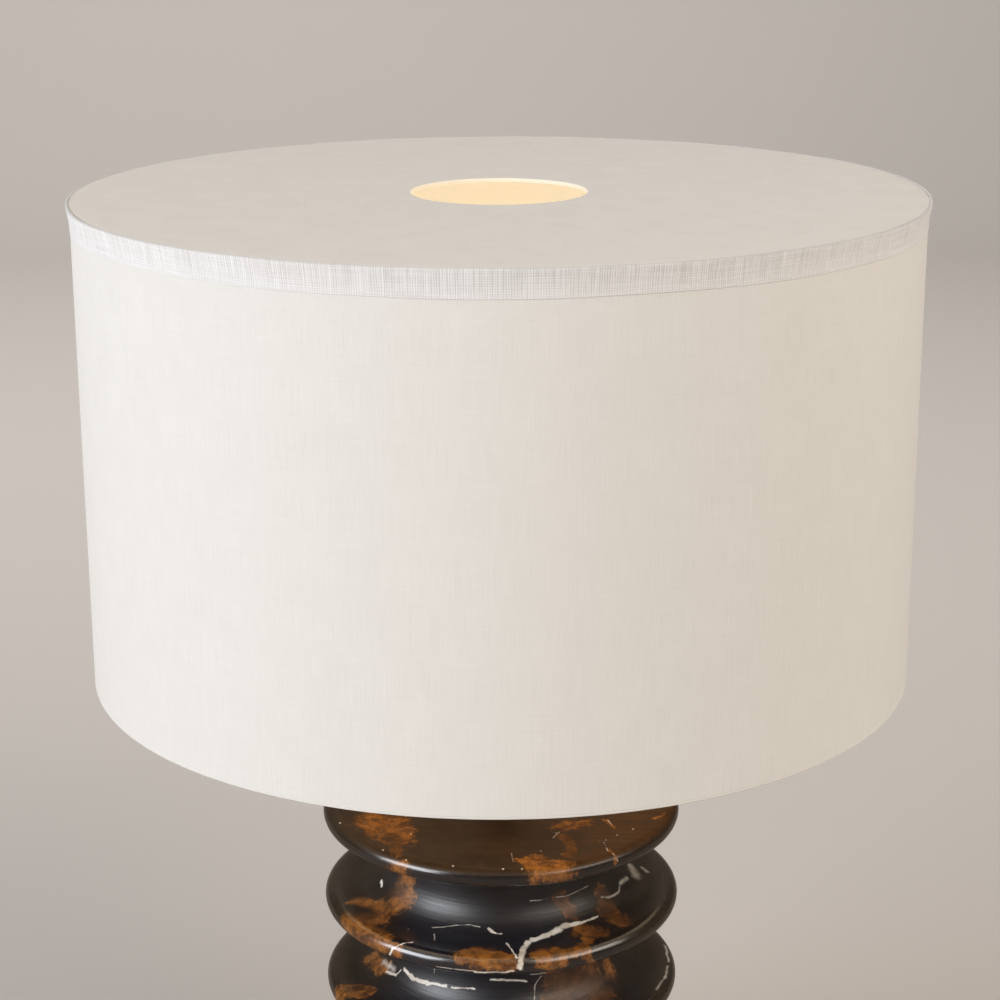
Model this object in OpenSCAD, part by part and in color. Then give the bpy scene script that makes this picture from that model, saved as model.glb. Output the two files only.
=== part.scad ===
/* [Marble body] */
// Outer radius of each turned rib, at its nose
rib_r = 99.6; // [94:0.2:115]
// Radius of the rounded nose of each rib
rib_nose_r = 5.5; // [4:0.5:7]
// Height from one rib to the next
rib_pitch = 50.8; // [44:0.2:58]
// Number of ribs
rib_count = 6; // [4:1:8]
// Radius of the stone at the bottom of each cove
core_r = 65; // [56:1:70]
// Radius of the hole bored down the stone for the pipe
pipe_hole_r = 5.8; // [5.4:0.1:8]
// Radius of the pocket bored in the underside
pocket_r = 32; // [28:1:40]
// Stone left between the cord outlet and the pocket's ceiling
pocket_headroom = 5; // [3:1:10]

/* [Foot] */
// Thickness of the felt pad
pad_t = 2; // [1:0.5:4]
// Distance from the flat of the lowest rib to the pad's edge
pad_inset = 6; // [2:1:20]
// Bore radius of the cord outlet's bushing
outlet_bore_r = 3.3; // [2.5:0.1:4]
// Wall of the bushing
bushing_wall = 1.3; // [0.8:0.1:2]
// Radius of the bushing's flange
bushing_flange_r = 7; // [6:0.5:10]
// Thickness of the bushing's flange
bushing_flange_t = 2.2; // [1:0.1:4]

/* [Pipe and neck] */
// Outer radius of the threaded pipe
pipe_r = 5.1; // [4.5:0.1:5.3]
// Bore radius of the pipe
pipe_bore_r = 3.4; // [3:0.1:4]
// Length of pipe that shows under the lower nut
pipe_tail = 2; // [1:0.5:4]
// Distance across the flats of both nuts
nut_flats = 16; // [14:1:20]
// Height of both nuts
nut_h = 4; // [3:0.5:6]
// Radius of the washer in the pocket
washer_r = 24; // [16:1:27]
// Thickness of the washer
washer_t = 2; // [1:0.5:3]
// Radius of the ring that seats the neck on the stone
seat_ring_r = 16; // [13:1:24]
// Height of the seating ring
seat_ring_h = 3; // [2:0.5:6]
// Outer radius of the neck
neck_r = 9.5; // [8:0.5:12]
// Wall of the neck
neck_wall = 1.5; // [1:0.1:2.5]
// Height of the neck
neck_h = 56; // [40:1:80]

/* [Saddle and harp] */
// Thickness of the saddle's plate
saddle_t = 1.6; // [1.2:0.1:2]
// Width of the saddle's plate
saddle_w = 12; // [10:1:16]
// Distance from the lamp's axis to each leg of the harp
leg_x = 29; // [26:0.5:34]
// Height of the saddle's tongues above its plate
tongue_h = 14; // [12:0.5:18]
// Width of the tongues and of the harp's feet
tongue_w = 4; // [3:0.2:4.4]
// Thickness of the harp's flattened feet
foot_t = 1.2; // [1:0.1:1.6]
// Radius of the harp's wire
harp_wire_r = 1.4; // [1.2:0.1:1.8]
// Height of the harp, from the saddle's plate to the seat
harp_h = 248.4; // [215:0.2:270]
// Half the width of the harp at its widest
harp_half_w = 57; // [50:1:65]
// Radius of the two bends that spread the legs
leg_bend_r = 20; // [14:1:26]
// Slope of the spread legs: how far they lean out for each unit of their length
leg_lean = 0.6; // [0.6:0.2:0.8]
// Radius of the harp's shoulders
shoulder_r = 42; // [30:1:45]
// Straight length of each leg, for the ferrule to rise on
leg_straight = 28; // [26:1:34]
// Height of each ferrule
ferrule_h = 10; // [8:0.5:12]
// Wall of each ferrule
ferrule_wall = 0.9; // [0.6:0.1:1.4]

/* [Harp top] */
// Radius of the flat eye at the top of the harp
eye_r = 7.5; // [6.5:0.5:10]
// Thickness of the eye
eye_t = 2; // [1.5:0.1:3]
// Radius of the stud that the shade turns on
stud_r = 3.1; // [2.8:0.1:3.6]
// Radius of the stud's rivet through the eye
rivet_r = 2.5; // [2:0.1:3]
// Radius of the stud's collar
collar_r = 7; // [6:0.5:9]
// Height of the stud's collar
collar_h = 2; // [1.5:0.1:3]
// Radius of the finial
finial_r = 8; // [7:0.5:10]
// Height of the finial
finial_h = 12; // [10:0.5:15]
// Number of flutes round the finial
finial_flutes = 18; // [12:1:24]

/* [Socket] */
// Outer radius of the socket's shell
shell_r = 16.4; // [16:0.1:18]
// Height of the socket's shell
shell_h = 43; // [40:1:50]
// Wall of the metal shell and of the cap
shell_wall = 0.7; // [0.5:0.1:1]
// Wall of the insulating liner
liner_wall = 0.8; // [0.5:0.1:1]
// Radius of the cap's threaded collar
cap_collar_r = 7.4; // [7:0.1:9]
// Height of the cap's threaded collar
cap_collar_h = 8; // [6:0.5:10]
// Height of the cap's lip, which holds the shell
cap_lip_h = 4; // [3:0.5:4]
// Height of the insulating block
block_h = 15; // [13:0.5:18]
// Outer radius of the threaded shell that takes the bulb
screw_shell_r = 13.95; // [13.7:0.05:14.2]
// Wall of that threaded shell
screw_shell_wall = 0.5; // [0.3:0.05:0.7]
// Height of that threaded shell
screw_shell_h = 22; // [18:1:25]

/* [Switch] */
// Radius of the switch's spindle
spindle_r = 1.6; // [1.2:0.1:2]
// Radius of the switch's knob
knob_r = 5; // [4:0.5:7]
// Length of the switch's knob
knob_l = 14; // [10:1:18]
// Number of flutes round the knob
knob_flutes = 12; // [8:1:16]
// Length of the spout that guides the spindle
spout_l = 6; // [4:1:9]

/* [Bulb] */
// Radius of the bulb's globe
globe_r = 30; // [27:0.5:35]
// Radius of the globe's neck
globe_neck_r = 12; // [11.6:0.1:12]
// Height of the globe's neck above the bulb's base
globe_neck_h = 8; // [6:0.5:12]
// Radius of the curve between the neck and the globe
globe_blend_r = 35; // [25:1:45]
// Thickness of the glass
glass_t = 0.8; // [0.5:0.1:1.5]
// Radius over the bulb's screw thread
bulb_thread_r = 13.1; // [12.9:0.05:13.15]
// Height of the bulb's metal base
bulb_base_h = 21; // [18:0.5:24]
// Turns of thread that show on the base
bulb_thread_count = 5; // [4:1:6]

/* [Shade] */
// Outer radius of the shade's cloth
shade_r = 220.5; // [180:0.5:260]
// Height of the shade
shade_h = 257; // [220:1:300]
// Thickness of the linen
linen_t = 0.7; // [0.5:0.1:1]
// Thickness of the stiff backing panel
panel_t = 1; // [0.6:0.1:1.5]
// Radius of the wire of both rings
ring_wire_r = 1.8; // [1.5:0.1:2.5]
// Thickness of the folded lip round the rim
lip_t = 1.8; // [1.2:0.1:2.4]
// Height of the band from its lower edge to the top of the lip
band_h = 13.9; // [8:0.1:20]
// How far the band flares outwards at the lip
band_flare = 2; // [0.4:0.1:2.5]
// Radius of the rolled hem
hem_r = 0.8; // [0.6:0.1:1.8]
// Radius of the hole in the top disc
top_hole_r = 45.8; // [35:0.2:60]
// Thickness of the top disc's stiff board
board_t = 1.2; // [0.8:0.1:2]
// How far the disc lies below the top of the lip
disc_drop = 0.3; // [0.2:0.1:3]

/* [Spider] */
// Height from the hub's underside to the top of the shade
spider_drop = 28.8; // [26:0.2:40]
// Outer radius of the spider's hub
hub_r = 11; // [9:0.5:14]
// Thickness of the spider's hub
hub_t = 2.5; // [2:0.1:4]
// Radius of the wire of the arms
arm_wire_r = 1.6; // [1.3:0.1:1.7]
// Radius of the bend at the end of each arm
arm_bend_r = 12; // [8:1:14]
// Number of arms
arm_count = 3; // [3:1:4]

/* [Fits] */
// Gap between bodies that turn or slide past each other
move_gap = 0.3; // [0.2:0.05:0.5]
// Radial running clearance of a shaft in its hole
run_gap = 0.08; // [0.03:0.01:0.1]
// Radial clearance of pieces that are pushed together
push_gap = 0.05; // [0.02:0.01:0.1]

/* [Hidden] */
$fn = 96;
// Overshoot of the cutting solids
cut = 1;
// Depth of the flat turned for the bushing's flange
outlet_flat = 0.5;
// Small distances between pieces that stand on the same stack
pipe_short = 1;
shell_lift = 0.4;
block_lift = 0.6;
contact_gap = 0.2;
panel_gap = 0.3;
lip_chamfer = 0.5;
hub_gap = 0.2;
sleeve_lift = 1;
foot_lift = 2;
// Lengths that one piece runs into the next
foot_overlap = 3;
arm_root = 2;
glass_depth = 6;
stud_short = 3;
finial_cap_t = 2;
knob_cap_t = 3;
eye_land = 2;
nose_z0 = pad_t + rib_nose_r;
stone_h = 2 * rib_nose_r + (rib_count - 1) * rib_pitch;
stone_top = pad_t + stone_h;
cove_r = rib_pitch / 2 - rib_nose_r;
cove_x = core_r + cove_r;
outlet_z = nose_z0 + rib_pitch / 2;
outlet_r = outlet_bore_r + bushing_wall + push_gap;
outlet_face_y = core_r - outlet_flat;
pocket_top = outlet_z + outlet_r + pocket_headroom;
washer_z = pocket_top - washer_t;
lower_nut_z = washer_z - nut_h;
pipe_z0 = lower_nut_z - pipe_tail;
neck_z = stone_top + seat_ring_h;
saddle_z = neck_z + neck_h;
plate_top = saddle_z + saddle_t;
socket_z = plate_top + nut_h;
pipe_top = socket_z + cap_collar_h - pipe_short;

cap_r = shell_r + push_gap + shell_wall;
cap_dome_h = cap_r - cap_collar_r;
cap_lip_z = socket_z + cap_collar_h + cap_dome_h;
shell_z = cap_lip_z + shell_lift;
shell_top = shell_z + shell_h;
liner_r = shell_r - shell_wall - push_gap;
block_r = liner_r - liner_wall - push_gap;
block_z = shell_z + block_lift;
block_top = block_z + block_h;
block_flat_x = 11;
terminal_z = block_z + 6;
terminal_h = 8;
spindle_z = block_z + block_h / 2;
spindle_y0 = 3;
spout_wall = 2.1;
spout_r = spindle_r + move_gap + spout_wall;
knob_y0 = shell_r + spout_l + move_gap;
contact_h = 2.5;
contact_r = 4;
contact_leaf_t = 0.8;
bulb_z = block_top + contact_h + contact_gap;
bulb_contact_h = 1.5;
bulb_insulator_h = 3.5;
bulb_insulator_r = 11;
bulb_base_z = bulb_z + bulb_contact_h + bulb_insulator_h;
bulb_base_top = bulb_base_z + bulb_base_h;
bulb_wall = 0.5;
thread_depth = 0.55;
thread_pitch = 3.6;
glass_z = bulb_base_top - glass_depth;
blend_x = globe_neck_r + globe_blend_r;
blend_z = bulb_base_top + globe_neck_h;
blend_reach = globe_r + globe_blend_r;
globe_z = blend_z + sqrt(blend_reach * blend_reach - blend_x * blend_x);

sleeve_bore_r = sqrt(pow(max(saddle_t, foot_t), 2) + pow(tongue_w / 2, 2)) + move_gap;
sleeve_z = plate_top + sleeve_lift;
foot_z = plate_top + foot_lift;
tongue_top = plate_top + tongue_h;
leg_z = tongue_top + move_gap;
bend_z = leg_z + leg_straight;
leg_spread = asin(leg_lean);
spread_x = harp_half_w - leg_x - 2 * leg_bend_r * (1 - cos(leg_spread));
slant_l = spread_x / leg_lean;
upright_z0 = bend_z + 2 * leg_bend_r * sin(leg_spread) + slant_l * cos(leg_spread);
seat_z = plate_top + harp_h;
harp_top_z = seat_z - eye_t / 2;
upright_h = harp_top_z - shoulder_r - upright_z0;
top_run = harp_half_w - shoulder_r - rivet_r - eye_land;
hub_z = seat_z + collar_h + hub_gap;
finial_z = hub_z + hub_t + move_gap;
stud_top = finial_z + finial_h - stud_short;

shade_top = hub_z + spider_drop;
shade_z = shade_top - shade_h;
panel_r = shade_r - linen_t;
panel_in_r = panel_r - panel_t;
lip_out_r = shade_r + band_flare;
lip_in_r = lip_out_r - lip_t;
lip_z = shade_top - lip_chamfer;
panel_bottom = shade_z + 2 * hem_r;
linen_top = shade_top - band_h;
hem_mid_r = shade_r - hem_r;
ring_mid_r = panel_in_r - ring_wire_r;
disc_top = shade_top - disc_drop;
board_top = disc_top - linen_t;
board_z = board_top - board_t;
panel_top = board_z - panel_gap;
disc_r = lip_in_r - push_gap;
top_ring_z = board_z - ring_wire_r;
bottom_ring_z = shade_z + ring_wire_r + hem_r + 2 * push_gap;
arm_z = hub_z + hub_t / 2;
arm_run = ring_mid_r - arm_bend_r - hub_r + arm_root;
arm_rise = top_ring_z - ring_wire_r - arm_z - arm_bend_r;

// A tube standing on the plane below it
module tube(outer_r, inner_r, h) {
    difference() {
        cylinder(r = outer_r, h = h);
        translate([0, 0, -cut]) cylinder(r = inner_r, h = h + 2 * cut);
    }
}

// A ring of round wire lying level
module wire_ring(mid_r, wire_r) {
    rotate_extrude() translate([mid_r, 0]) circle(r = wire_r);
}

// A bend of round wire that starts upwards at the origin and turns towards -X
module wire_bend(bend_r, wire_r, sweep) {
    translate([-bend_r, 0, 0]) rotate([90, 0, 0]) rotate_extrude(angle = sweep)
        translate([bend_r, 0]) circle(r = wire_r);
}

// Puts the children where such a bend ends, going on in its direction
module after_bend(bend_r, sweep) {
    translate([-bend_r * (1 - cos(sweep)), 0, bend_r * sin(sweep)]) rotate([0, -sweep, 0]) children();
}

// A hexagonal nut standing on the plane below it
module hex_nut(flats, h, bore_r) {
    difference() {
        cylinder(r = flats / 2 / cos(30), h = h, $fn = 6);
        translate([0, 0, -cut]) cylinder(r = bore_r, h = h + 2 * cut);
    }
}

// Half the outline of the stone: slabs with round noses, and a round cove between each two
module stone_outline() {
    difference() {
        union() {
            translate([0, pad_t]) square([rib_r - rib_nose_r, stone_h]);
            for (i = [0 : rib_count - 1])
                translate([rib_r - rib_nose_r, nose_z0 + i * rib_pitch]) circle(r = rib_nose_r);
        }
        for (i = [0 : rib_count - 2]) {
            cove_z = nose_z0 + (i + 0.5) * rib_pitch;
            translate([cove_x, cove_z]) circle(r = cove_r);
            translate([cove_x, cove_z - cove_r]) square([rib_r, 2 * cove_r]);
        }
    }
}

// The turned stone, bored for the pipe, the pocket and the cord outlet
module marble_body() {
    color("#2a2422") difference() {
        rotate_extrude() stone_outline();
        translate([0, 0, pad_t - cut]) cylinder(r = pipe_hole_r, h = stone_h + 2 * cut);
        translate([0, 0, pad_t - cut]) cylinder(r = pocket_r, h = pocket_top - pad_t + cut);
        translate([0, 0, outlet_z]) rotate([-90, 0, 0]) cylinder(r = outlet_r, h = rib_r);
        translate([0, outlet_face_y, outlet_z]) rotate([-90, 0, 0])
            cylinder(r = bushing_flange_r + push_gap, h = cove_r);
    }
}

module base_pad() {
    color("#3a3a38") cylinder(r = rib_r - rib_nose_r - pad_inset, h = pad_t);
}

module pocket_washer() {
    color("silver") translate([0, 0, washer_z]) tube(washer_r, pipe_r + push_gap, washer_t);
}

module pocket_nut() {
    color("silver") translate([0, 0, lower_nut_z]) hex_nut(nut_flats, nut_h, pipe_r + push_gap);
}

module lamp_pipe() {
    color("gold") translate([0, 0, pipe_z0]) tube(pipe_r, pipe_bore_r, pipe_top - pipe_z0);
}

// The flanged sleeve that lines the cord outlet at the back
module cord_bushing() {
    sleeve_y0 = pocket_r + outlet_flat;
    color("#1c1c1c") difference() {
        union() {
            translate([0, sleeve_y0, outlet_z]) rotate([-90, 0, 0])
                cylinder(r = outlet_bore_r + bushing_wall,
                    h = outlet_face_y - sleeve_y0 + bushing_flange_t / 2);
            translate([0, outlet_face_y, outlet_z]) rotate([-90, 0, 0])
                cylinder(r = bushing_flange_r, h = bushing_flange_t);
        }
        translate([0, sleeve_y0 - cut, outlet_z]) rotate([-90, 0, 0])
            cylinder(r = outlet_bore_r, h = outlet_face_y - sleeve_y0 + bushing_flange_t + 2 * cut);
    }
}

module seating_ring() {
    color("#40392f") translate([0, 0, stone_top]) difference() {
        union() {
            cylinder(r = seat_ring_r, h = seat_ring_h / 2);
            translate([0, 0, seat_ring_h / 2])
                cylinder(r1 = seat_ring_r, r2 = seat_ring_r - seat_ring_h / 2, h = seat_ring_h / 2);
        }
        translate([0, 0, -cut]) cylinder(r = pipe_r + push_gap, h = seat_ring_h + 2 * cut);
    }
}

module neck_tube() {
    color("#40392f") translate([0, 0, neck_z]) difference() {
        tube(neck_r, pipe_r + push_gap, neck_h);
        translate([0, 0, neck_wall]) tube(neck_r - neck_wall, pipe_r, neck_h - 2 * neck_wall);
    }
}

// Half of the saddle's folded strip, seen from the front: it runs out and turns up
module saddle_fold() {
    fold_r = 2 * saddle_t;
    difference() {
        union() {
            square([leg_x - fold_r, saddle_t]);
            translate([leg_x - fold_r, fold_r]) circle(r = fold_r);
            translate([leg_x - saddle_t, fold_r]) square([saddle_t, saddle_t + tongue_h - fold_r]);
        }
        translate([leg_x - fold_r, fold_r]) circle(r = fold_r - saddle_t);
        translate([leg_x - 3 * fold_r, fold_r]) square([3 * fold_r - saddle_t, tongue_h]);
        translate([leg_x - 3 * fold_r, saddle_t]) square([2 * fold_r, tongue_h]);
    }
}

module harp_saddle() {
    plate_half = leg_x - saddle_w;
    color("#b9a26a") translate([0, 0, saddle_z]) difference() {
        union() {
            translate([-plate_half, -saddle_w / 2, 0]) cube([2 * plate_half, saddle_w, saddle_t]);
            for (side = [-1, 1]) {
                translate([side * plate_half, 0, 0]) cylinder(r = saddle_w / 2, h = saddle_t);
                rotate([0, 0, side > 0 ? 0 : 180]) translate([0, tongue_w / 2, 0])
                    rotate([90, 0, 0]) linear_extrude(tongue_w) saddle_fold();
            }
        }
        translate([0, 0, -cut]) cylinder(r = pipe_r + push_gap, h = saddle_t + 2 * cut);
    }
}

module saddle_nut() {
    color("silver") translate([0, 0, plate_top]) hex_nut(nut_flats, nut_h, pipe_r + push_gap);
}

// The socket's lower cap: a collar, a quarter-round dome and a lip round the shell
module socket_cap() {
    color("#c9a24a") translate([0, 0, socket_z]) rotate_extrude() difference() {
        union() {
            square([cap_collar_r, cap_collar_h + shell_wall]);
            intersection() {
                translate([cap_collar_r, cap_collar_h + cap_dome_h]) circle(r = cap_dome_h);
                translate([cap_collar_r, cap_collar_h]) square(cap_dome_h);
            }
            translate([0, cap_collar_h]) square([cap_collar_r, cap_dome_h]);
            translate([0, cap_collar_h + cap_dome_h]) square([cap_r, cap_lip_h]);
        }
        intersection() {
            translate([cap_collar_r, cap_collar_h + cap_dome_h]) circle(r = cap_dome_h - shell_wall);
            translate([cap_collar_r, cap_collar_h]) square(cap_dome_h);
        }
        translate([0, cap_collar_h + shell_wall]) square([cap_collar_r, cap_dome_h]);
        translate([0, cap_collar_h + cap_dome_h]) square([cap_r - shell_wall, cap_lip_h + cut]);
        translate([0, -cut]) square([pipe_r + push_gap, cap_collar_h + 2 * cut]);
    }
}

// The socket's shell, with two rolled beads and the spout for the switch
module socket_shell() {
    bead = 0.8;
    middle = shell_z + shell_h / 2;
    color("#c9a24a") difference() {
        union() {
            translate([0, 0, shell_z]) cylinder(r = shell_r, h = shell_h);
            for (z = [middle, shell_top - bead])
                translate([0, 0, z]) wire_ring(shell_r, bead);
            translate([0, 0, spindle_z]) rotate([90, 0, 0]) cylinder(r = spout_r, h = shell_r + spout_l);
        }
        translate([0, 0, shell_z - cut]) cylinder(r = shell_r - shell_wall, h = shell_h + 2 * cut);
        translate([0, 0, spindle_z]) rotate([90, 0, 0])
            cylinder(r = spindle_r + move_gap, h = shell_r + spout_l + cut);
    }
}

module socket_liner() {
    below_shell = 1;
    hole_gap = 1;
    color("#e8e2d0") difference() {
        translate([0, 0, shell_z]) tube(liner_r, liner_r - liner_wall, shell_h - below_shell);
        translate([0, 0, spindle_z]) rotate([90, 0, 0]) cylinder(r = spindle_r + hole_gap, h = shell_r);
    }
}

// The insulating block: flats for the terminals and a bore for the switch's spindle
module socket_block() {
    color("#20201e") difference() {
        translate([0, 0, block_z]) cylinder(r = block_r, h = block_h);
        for (side = [-1, 1])
            translate([side * (block_flat_x + block_r / 2), 0, terminal_z])
                cube([block_r, 2 * block_r, terminal_h], center = true);
        translate([0, cut - spindle_y0, spindle_z]) rotate([90, 0, 0])
            cylinder(r = spindle_r + run_gap, h = block_r);
    }
}

module terminal_screws() {
    head_r = 3;
    head_h = 2;
    slot_w = 1;
    slot_depth = 0.8;
    color("#c9a24a") for (side = [-1, 1])
        translate([side * block_flat_x, 0, terminal_z]) rotate([0, side * 90, 0]) difference() {
            cylinder(r = head_r, h = head_h);
            translate([-slot_w / 2, -head_r - cut, head_h - slot_depth])
                cube([slot_w, 2 * (head_r + cut), slot_depth + cut]);
        }
}

module screw_shell() {
    color("#d8d8d4") translate([0, 0, block_top])
        tube(screw_shell_r, screw_shell_r - screw_shell_wall, screw_shell_h);
}

// The leaf under the bulb: a foot, and a raised button
module centre_contact() {
    color("#c9a24a") translate([0, 0, block_top]) {
        cylinder(r = 1.5 * contact_r, h = contact_leaf_t);
        translate([0, 0, contact_leaf_t])
            cylinder(r1 = contact_r, r2 = contact_r / 2, h = contact_h - contact_leaf_t);
    }
}

module switch_spindle() {
    color("#c9a24a") translate([0, -spindle_y0, spindle_z]) rotate([90, 0, 0])
        cylinder(r = spindle_r, h = knob_y0 + knob_l - knob_cap_t - spindle_y0);
}

// The turn knob: fluted, tapered at its tip, bored for the spindle
module switch_knob() {
    tip_h = 2;
    tip_taper = 1.5;
    flute_r = 0.8;
    flute_out = 0.3;
    collar_w = 2;
    color("#161514") translate([0, -knob_y0, spindle_z]) rotate([90, 0, 0]) difference() {
        union() {
            cylinder(r = knob_r, h = knob_l - tip_h);
            translate([0, 0, knob_l - tip_h]) cylinder(r1 = knob_r, r2 = knob_r - tip_taper, h = tip_h);
        }
        translate([0, 0, -cut]) cylinder(r = spindle_r, h = knob_l - knob_cap_t + cut);
        for (i = [0 : knob_flutes - 1])
            rotate([0, 0, i * 360 / knob_flutes]) translate([knob_r + flute_out, 0, collar_w])
                cylinder(r = flute_r, h = knob_l, $fn = 24);
    }
}

// One side of the harp: flat foot, straight leg, spread, upright and shoulder, each from the last one's end
module harp_side() {
    translate([leg_x, -tongue_w / 2, foot_z]) cube([foot_t, tongue_w, leg_z + foot_overlap - foot_z]);
    translate([leg_x, 0, leg_z]) {
        cylinder(r = harp_wire_r, h = leg_straight);
        translate([0, 0, leg_straight]) mirror([1, 0, 0]) {
            wire_bend(leg_bend_r, harp_wire_r, leg_spread);
            after_bend(leg_bend_r, leg_spread) {
                cylinder(r = harp_wire_r, h = slant_l);
                translate([0, 0, slant_l]) mirror([1, 0, 0]) harp_upper();
            }
        }
    }
}

// The harp's side from the end of its slant, drawn as if the slant went straight up
module harp_upper() {
    wire_bend(leg_bend_r, harp_wire_r, leg_spread);
    after_bend(leg_bend_r, leg_spread) {
        cylinder(r = harp_wire_r, h = upright_h);
        translate([0, 0, upright_h]) {
            wire_bend(shoulder_r, harp_wire_r, 90);
            after_bend(shoulder_r, 90) cylinder(r = harp_wire_r, h = top_run);
        }
    }
}

// The bent wire harp, with its flat eye for the stud
module harp() {
    color("#b9a26a") difference() {
        union() {
            harp_side();
            mirror([1, 0, 0]) harp_side();
            translate([0, 0, seat_z - eye_t]) cylinder(r = eye_r, h = eye_t);
        }
        translate([0, 0, seat_z - eye_t - cut]) cylinder(r = rivet_r + push_gap, h = eye_t + 2 * cut);
        translate([0, 0, seat_z]) cylinder(r = eye_r + cut, h = eye_t);
    }
}

// The stud: a rivet head, a rivet, the collar that the shade sits on, and the thread above
module harp_stud() {
    head_h = 1.2;
    head_r = rivet_r + 1.5;
    chamfer = 1;
    color("#b9a26a") {
        translate([0, 0, seat_z - eye_t - head_h]) cylinder(r = head_r, h = head_h);
        translate([0, 0, seat_z - eye_t]) cylinder(r = rivet_r, h = eye_t);
        translate([0, 0, seat_z]) cylinder(r = collar_r, h = collar_h);
        translate([0, 0, seat_z + collar_h])
            cylinder(r = stud_r, h = stud_top - seat_z - collar_h - chamfer);
        translate([0, 0, stud_top - chamfer]) cylinder(r1 = stud_r, r2 = stud_r - chamfer, h = chamfer);
    }
}

// The sleeve that locks a leg of the harp to its tongue
module ferrule(side) {
    color("#c9a24a") translate([side * leg_x, 0, sleeve_z])
        tube(sleeve_bore_r + ferrule_wall, sleeve_bore_r, ferrule_h);
}

module ferrule_left() { ferrule(-1); }
module ferrule_right() { ferrule(1); }

// Half the outline of the globe, drawn inwards by a thickness: neck, blend curve and ball
module globe_outline(inward) {
    blend = globe_blend_r + inward;
    ball = globe_r - inward;
    touch = ball / blend_reach;
    union() {
        intersection() {
            translate([0, globe_z]) circle(r = ball);
            translate([0, blend_z]) square([globe_r, globe_z + globe_r]);
        }
        translate([0, glass_z - inward]) square([globe_neck_r - inward, blend_z - glass_z + inward]);
        difference() {
            polygon([[0, blend_z], [blend_x, blend_z],
                [blend_x * touch, globe_z - (globe_z - blend_z) * touch], [0, globe_z]]);
            translate([blend_x, blend_z]) circle(r = blend);
        }
    }
}

module bulb_globe() {
    color("#fbf4e4") rotate_extrude() difference() {
        globe_outline(0);
        globe_outline(glass_t);
    }
}

// The bulb's metal base: a thin cup with rounded thread ridges
module bulb_base() {
    root_r = bulb_thread_r - thread_depth;
    first_ridge = 1.6;
    step = 0.5;
    color("#d8d8d4") rotate_extrude() difference() {
        union() {
            translate([0, bulb_base_z]) square([root_r, bulb_base_h]);
            for (i = [0 : bulb_thread_count - 1])
                translate([root_r - thread_depth, bulb_base_z + first_ridge + i * thread_pitch])
                    circle(r = 2 * thread_depth, $fn = 48);
        }
        translate([0, bulb_base_z + bulb_wall])
            square([globe_neck_r - glass_t - step, bulb_base_h]);
        translate([0, glass_z]) square([globe_neck_r + push_gap, bulb_base_h]);
    }
}

module bulb_insulator() {
    color("#161514") translate([0, 0, bulb_z + bulb_contact_h])
        cylinder(r1 = bulb_insulator_r / 2, r2 = bulb_insulator_r, h = bulb_insulator_h);
}

module bulb_contact() {
    color("#c9c9c4") translate([0, 0, bulb_z])
        cylinder(r1 = contact_r * 0.75, r2 = contact_r, h = bulb_contact_h);
}

// One arm of the spider: out from the hub, then up to the ring
module spider_arm() {
    translate([hub_r - arm_root, 0, arm_z]) rotate([0, 90, 0]) {
        cylinder(r = arm_wire_r, h = arm_run);
        translate([0, 0, arm_run]) {
            wire_bend(arm_bend_r, arm_wire_r, 90);
            after_bend(arm_bend_r, 90) cylinder(r = arm_wire_r, h = arm_rise);
        }
    }
}

module spider() {
    color("#b9a26a") difference() {
        union() {
            translate([0, 0, hub_z]) cylinder(r = hub_r, h = hub_t);
            for (i = [0 : arm_count - 1]) rotate([0, 0, i * 360 / arm_count - 90]) spider_arm();
        }
        translate([0, 0, hub_z - cut]) cylinder(r = stud_r + run_gap, h = hub_t + 2 * cut);
    }
}

module shade_top_ring() {
    color("#b9a26a") translate([0, 0, top_ring_z]) wire_ring(ring_mid_r, ring_wire_r);
}

module shade_bottom_ring() {
    color("#b9a26a") translate([0, 0, bottom_ring_z]) wire_ring(ring_mid_r, ring_wire_r);
}

module shade_panel() {
    color("#f4f1ea") translate([0, 0, panel_bottom]) tube(panel_r, panel_in_r, panel_top - panel_bottom);
}

module shade_linen() {
    color("#f0ece4") translate([0, 0, panel_bottom]) tube(shade_r, panel_r, linen_top - panel_bottom);
}

module top_board() {
    color("#f4f1ea") translate([0, 0, board_z]) tube(disc_r, top_hole_r + linen_t, board_t);
}

// The disc's linen, turned down through the hole
module top_linen() {
    color("#d3cbc0") difference() {
        translate([0, 0, board_z]) cylinder(r = disc_r, h = board_t + linen_t);
        translate([0, 0, board_z - cut]) tube(disc_r + cut, top_hole_r + linen_t, board_t + cut);
        translate([0, 0, board_z - cut]) cylinder(r = top_hole_r, h = board_t + linen_t + 2 * cut);
    }
}

// The strip of linen round the top: it flares, and its edge is folded down inside to the disc's board
module top_band() {
    color("#d3cbc0") rotate_extrude() polygon([
        [panel_r, linen_top], [shade_r, linen_top], [lip_out_r, lip_z], [lip_out_r - lip_chamfer, shade_top],
        [lip_in_r + lip_chamfer, shade_top], [lip_in_r, lip_z], [lip_in_r, panel_top], [panel_r, panel_top]
    ]);
}

module bottom_hem() {
    color("#f4f1ea") translate([0, 0, shade_z + hem_r]) wire_ring(hem_mid_r, hem_r);
}

// The low finial: fluted side, chamfered top, blind threaded hole
module finial() {
    chamfer = 1.5;
    flute_r = 1;
    flute_out = 0.4;
    skirt_h = 2;
    color("#b9a26a") translate([0, 0, finial_z]) difference() {
        union() {
            cylinder(r = finial_r, h = finial_h - chamfer);
            translate([0, 0, finial_h - chamfer])
                cylinder(r1 = finial_r, r2 = finial_r - chamfer, h = chamfer);
        }
        translate([0, 0, -cut]) cylinder(r = stud_r + run_gap, h = finial_h - finial_cap_t + cut);
        for (i = [0 : finial_flutes - 1])
            rotate([0, 0, i * 360 / finial_flutes]) translate([finial_r + flute_out, 0, skirt_h])
                cylinder(r = flute_r, h = finial_h, $fn = 24);
    }
}

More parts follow.
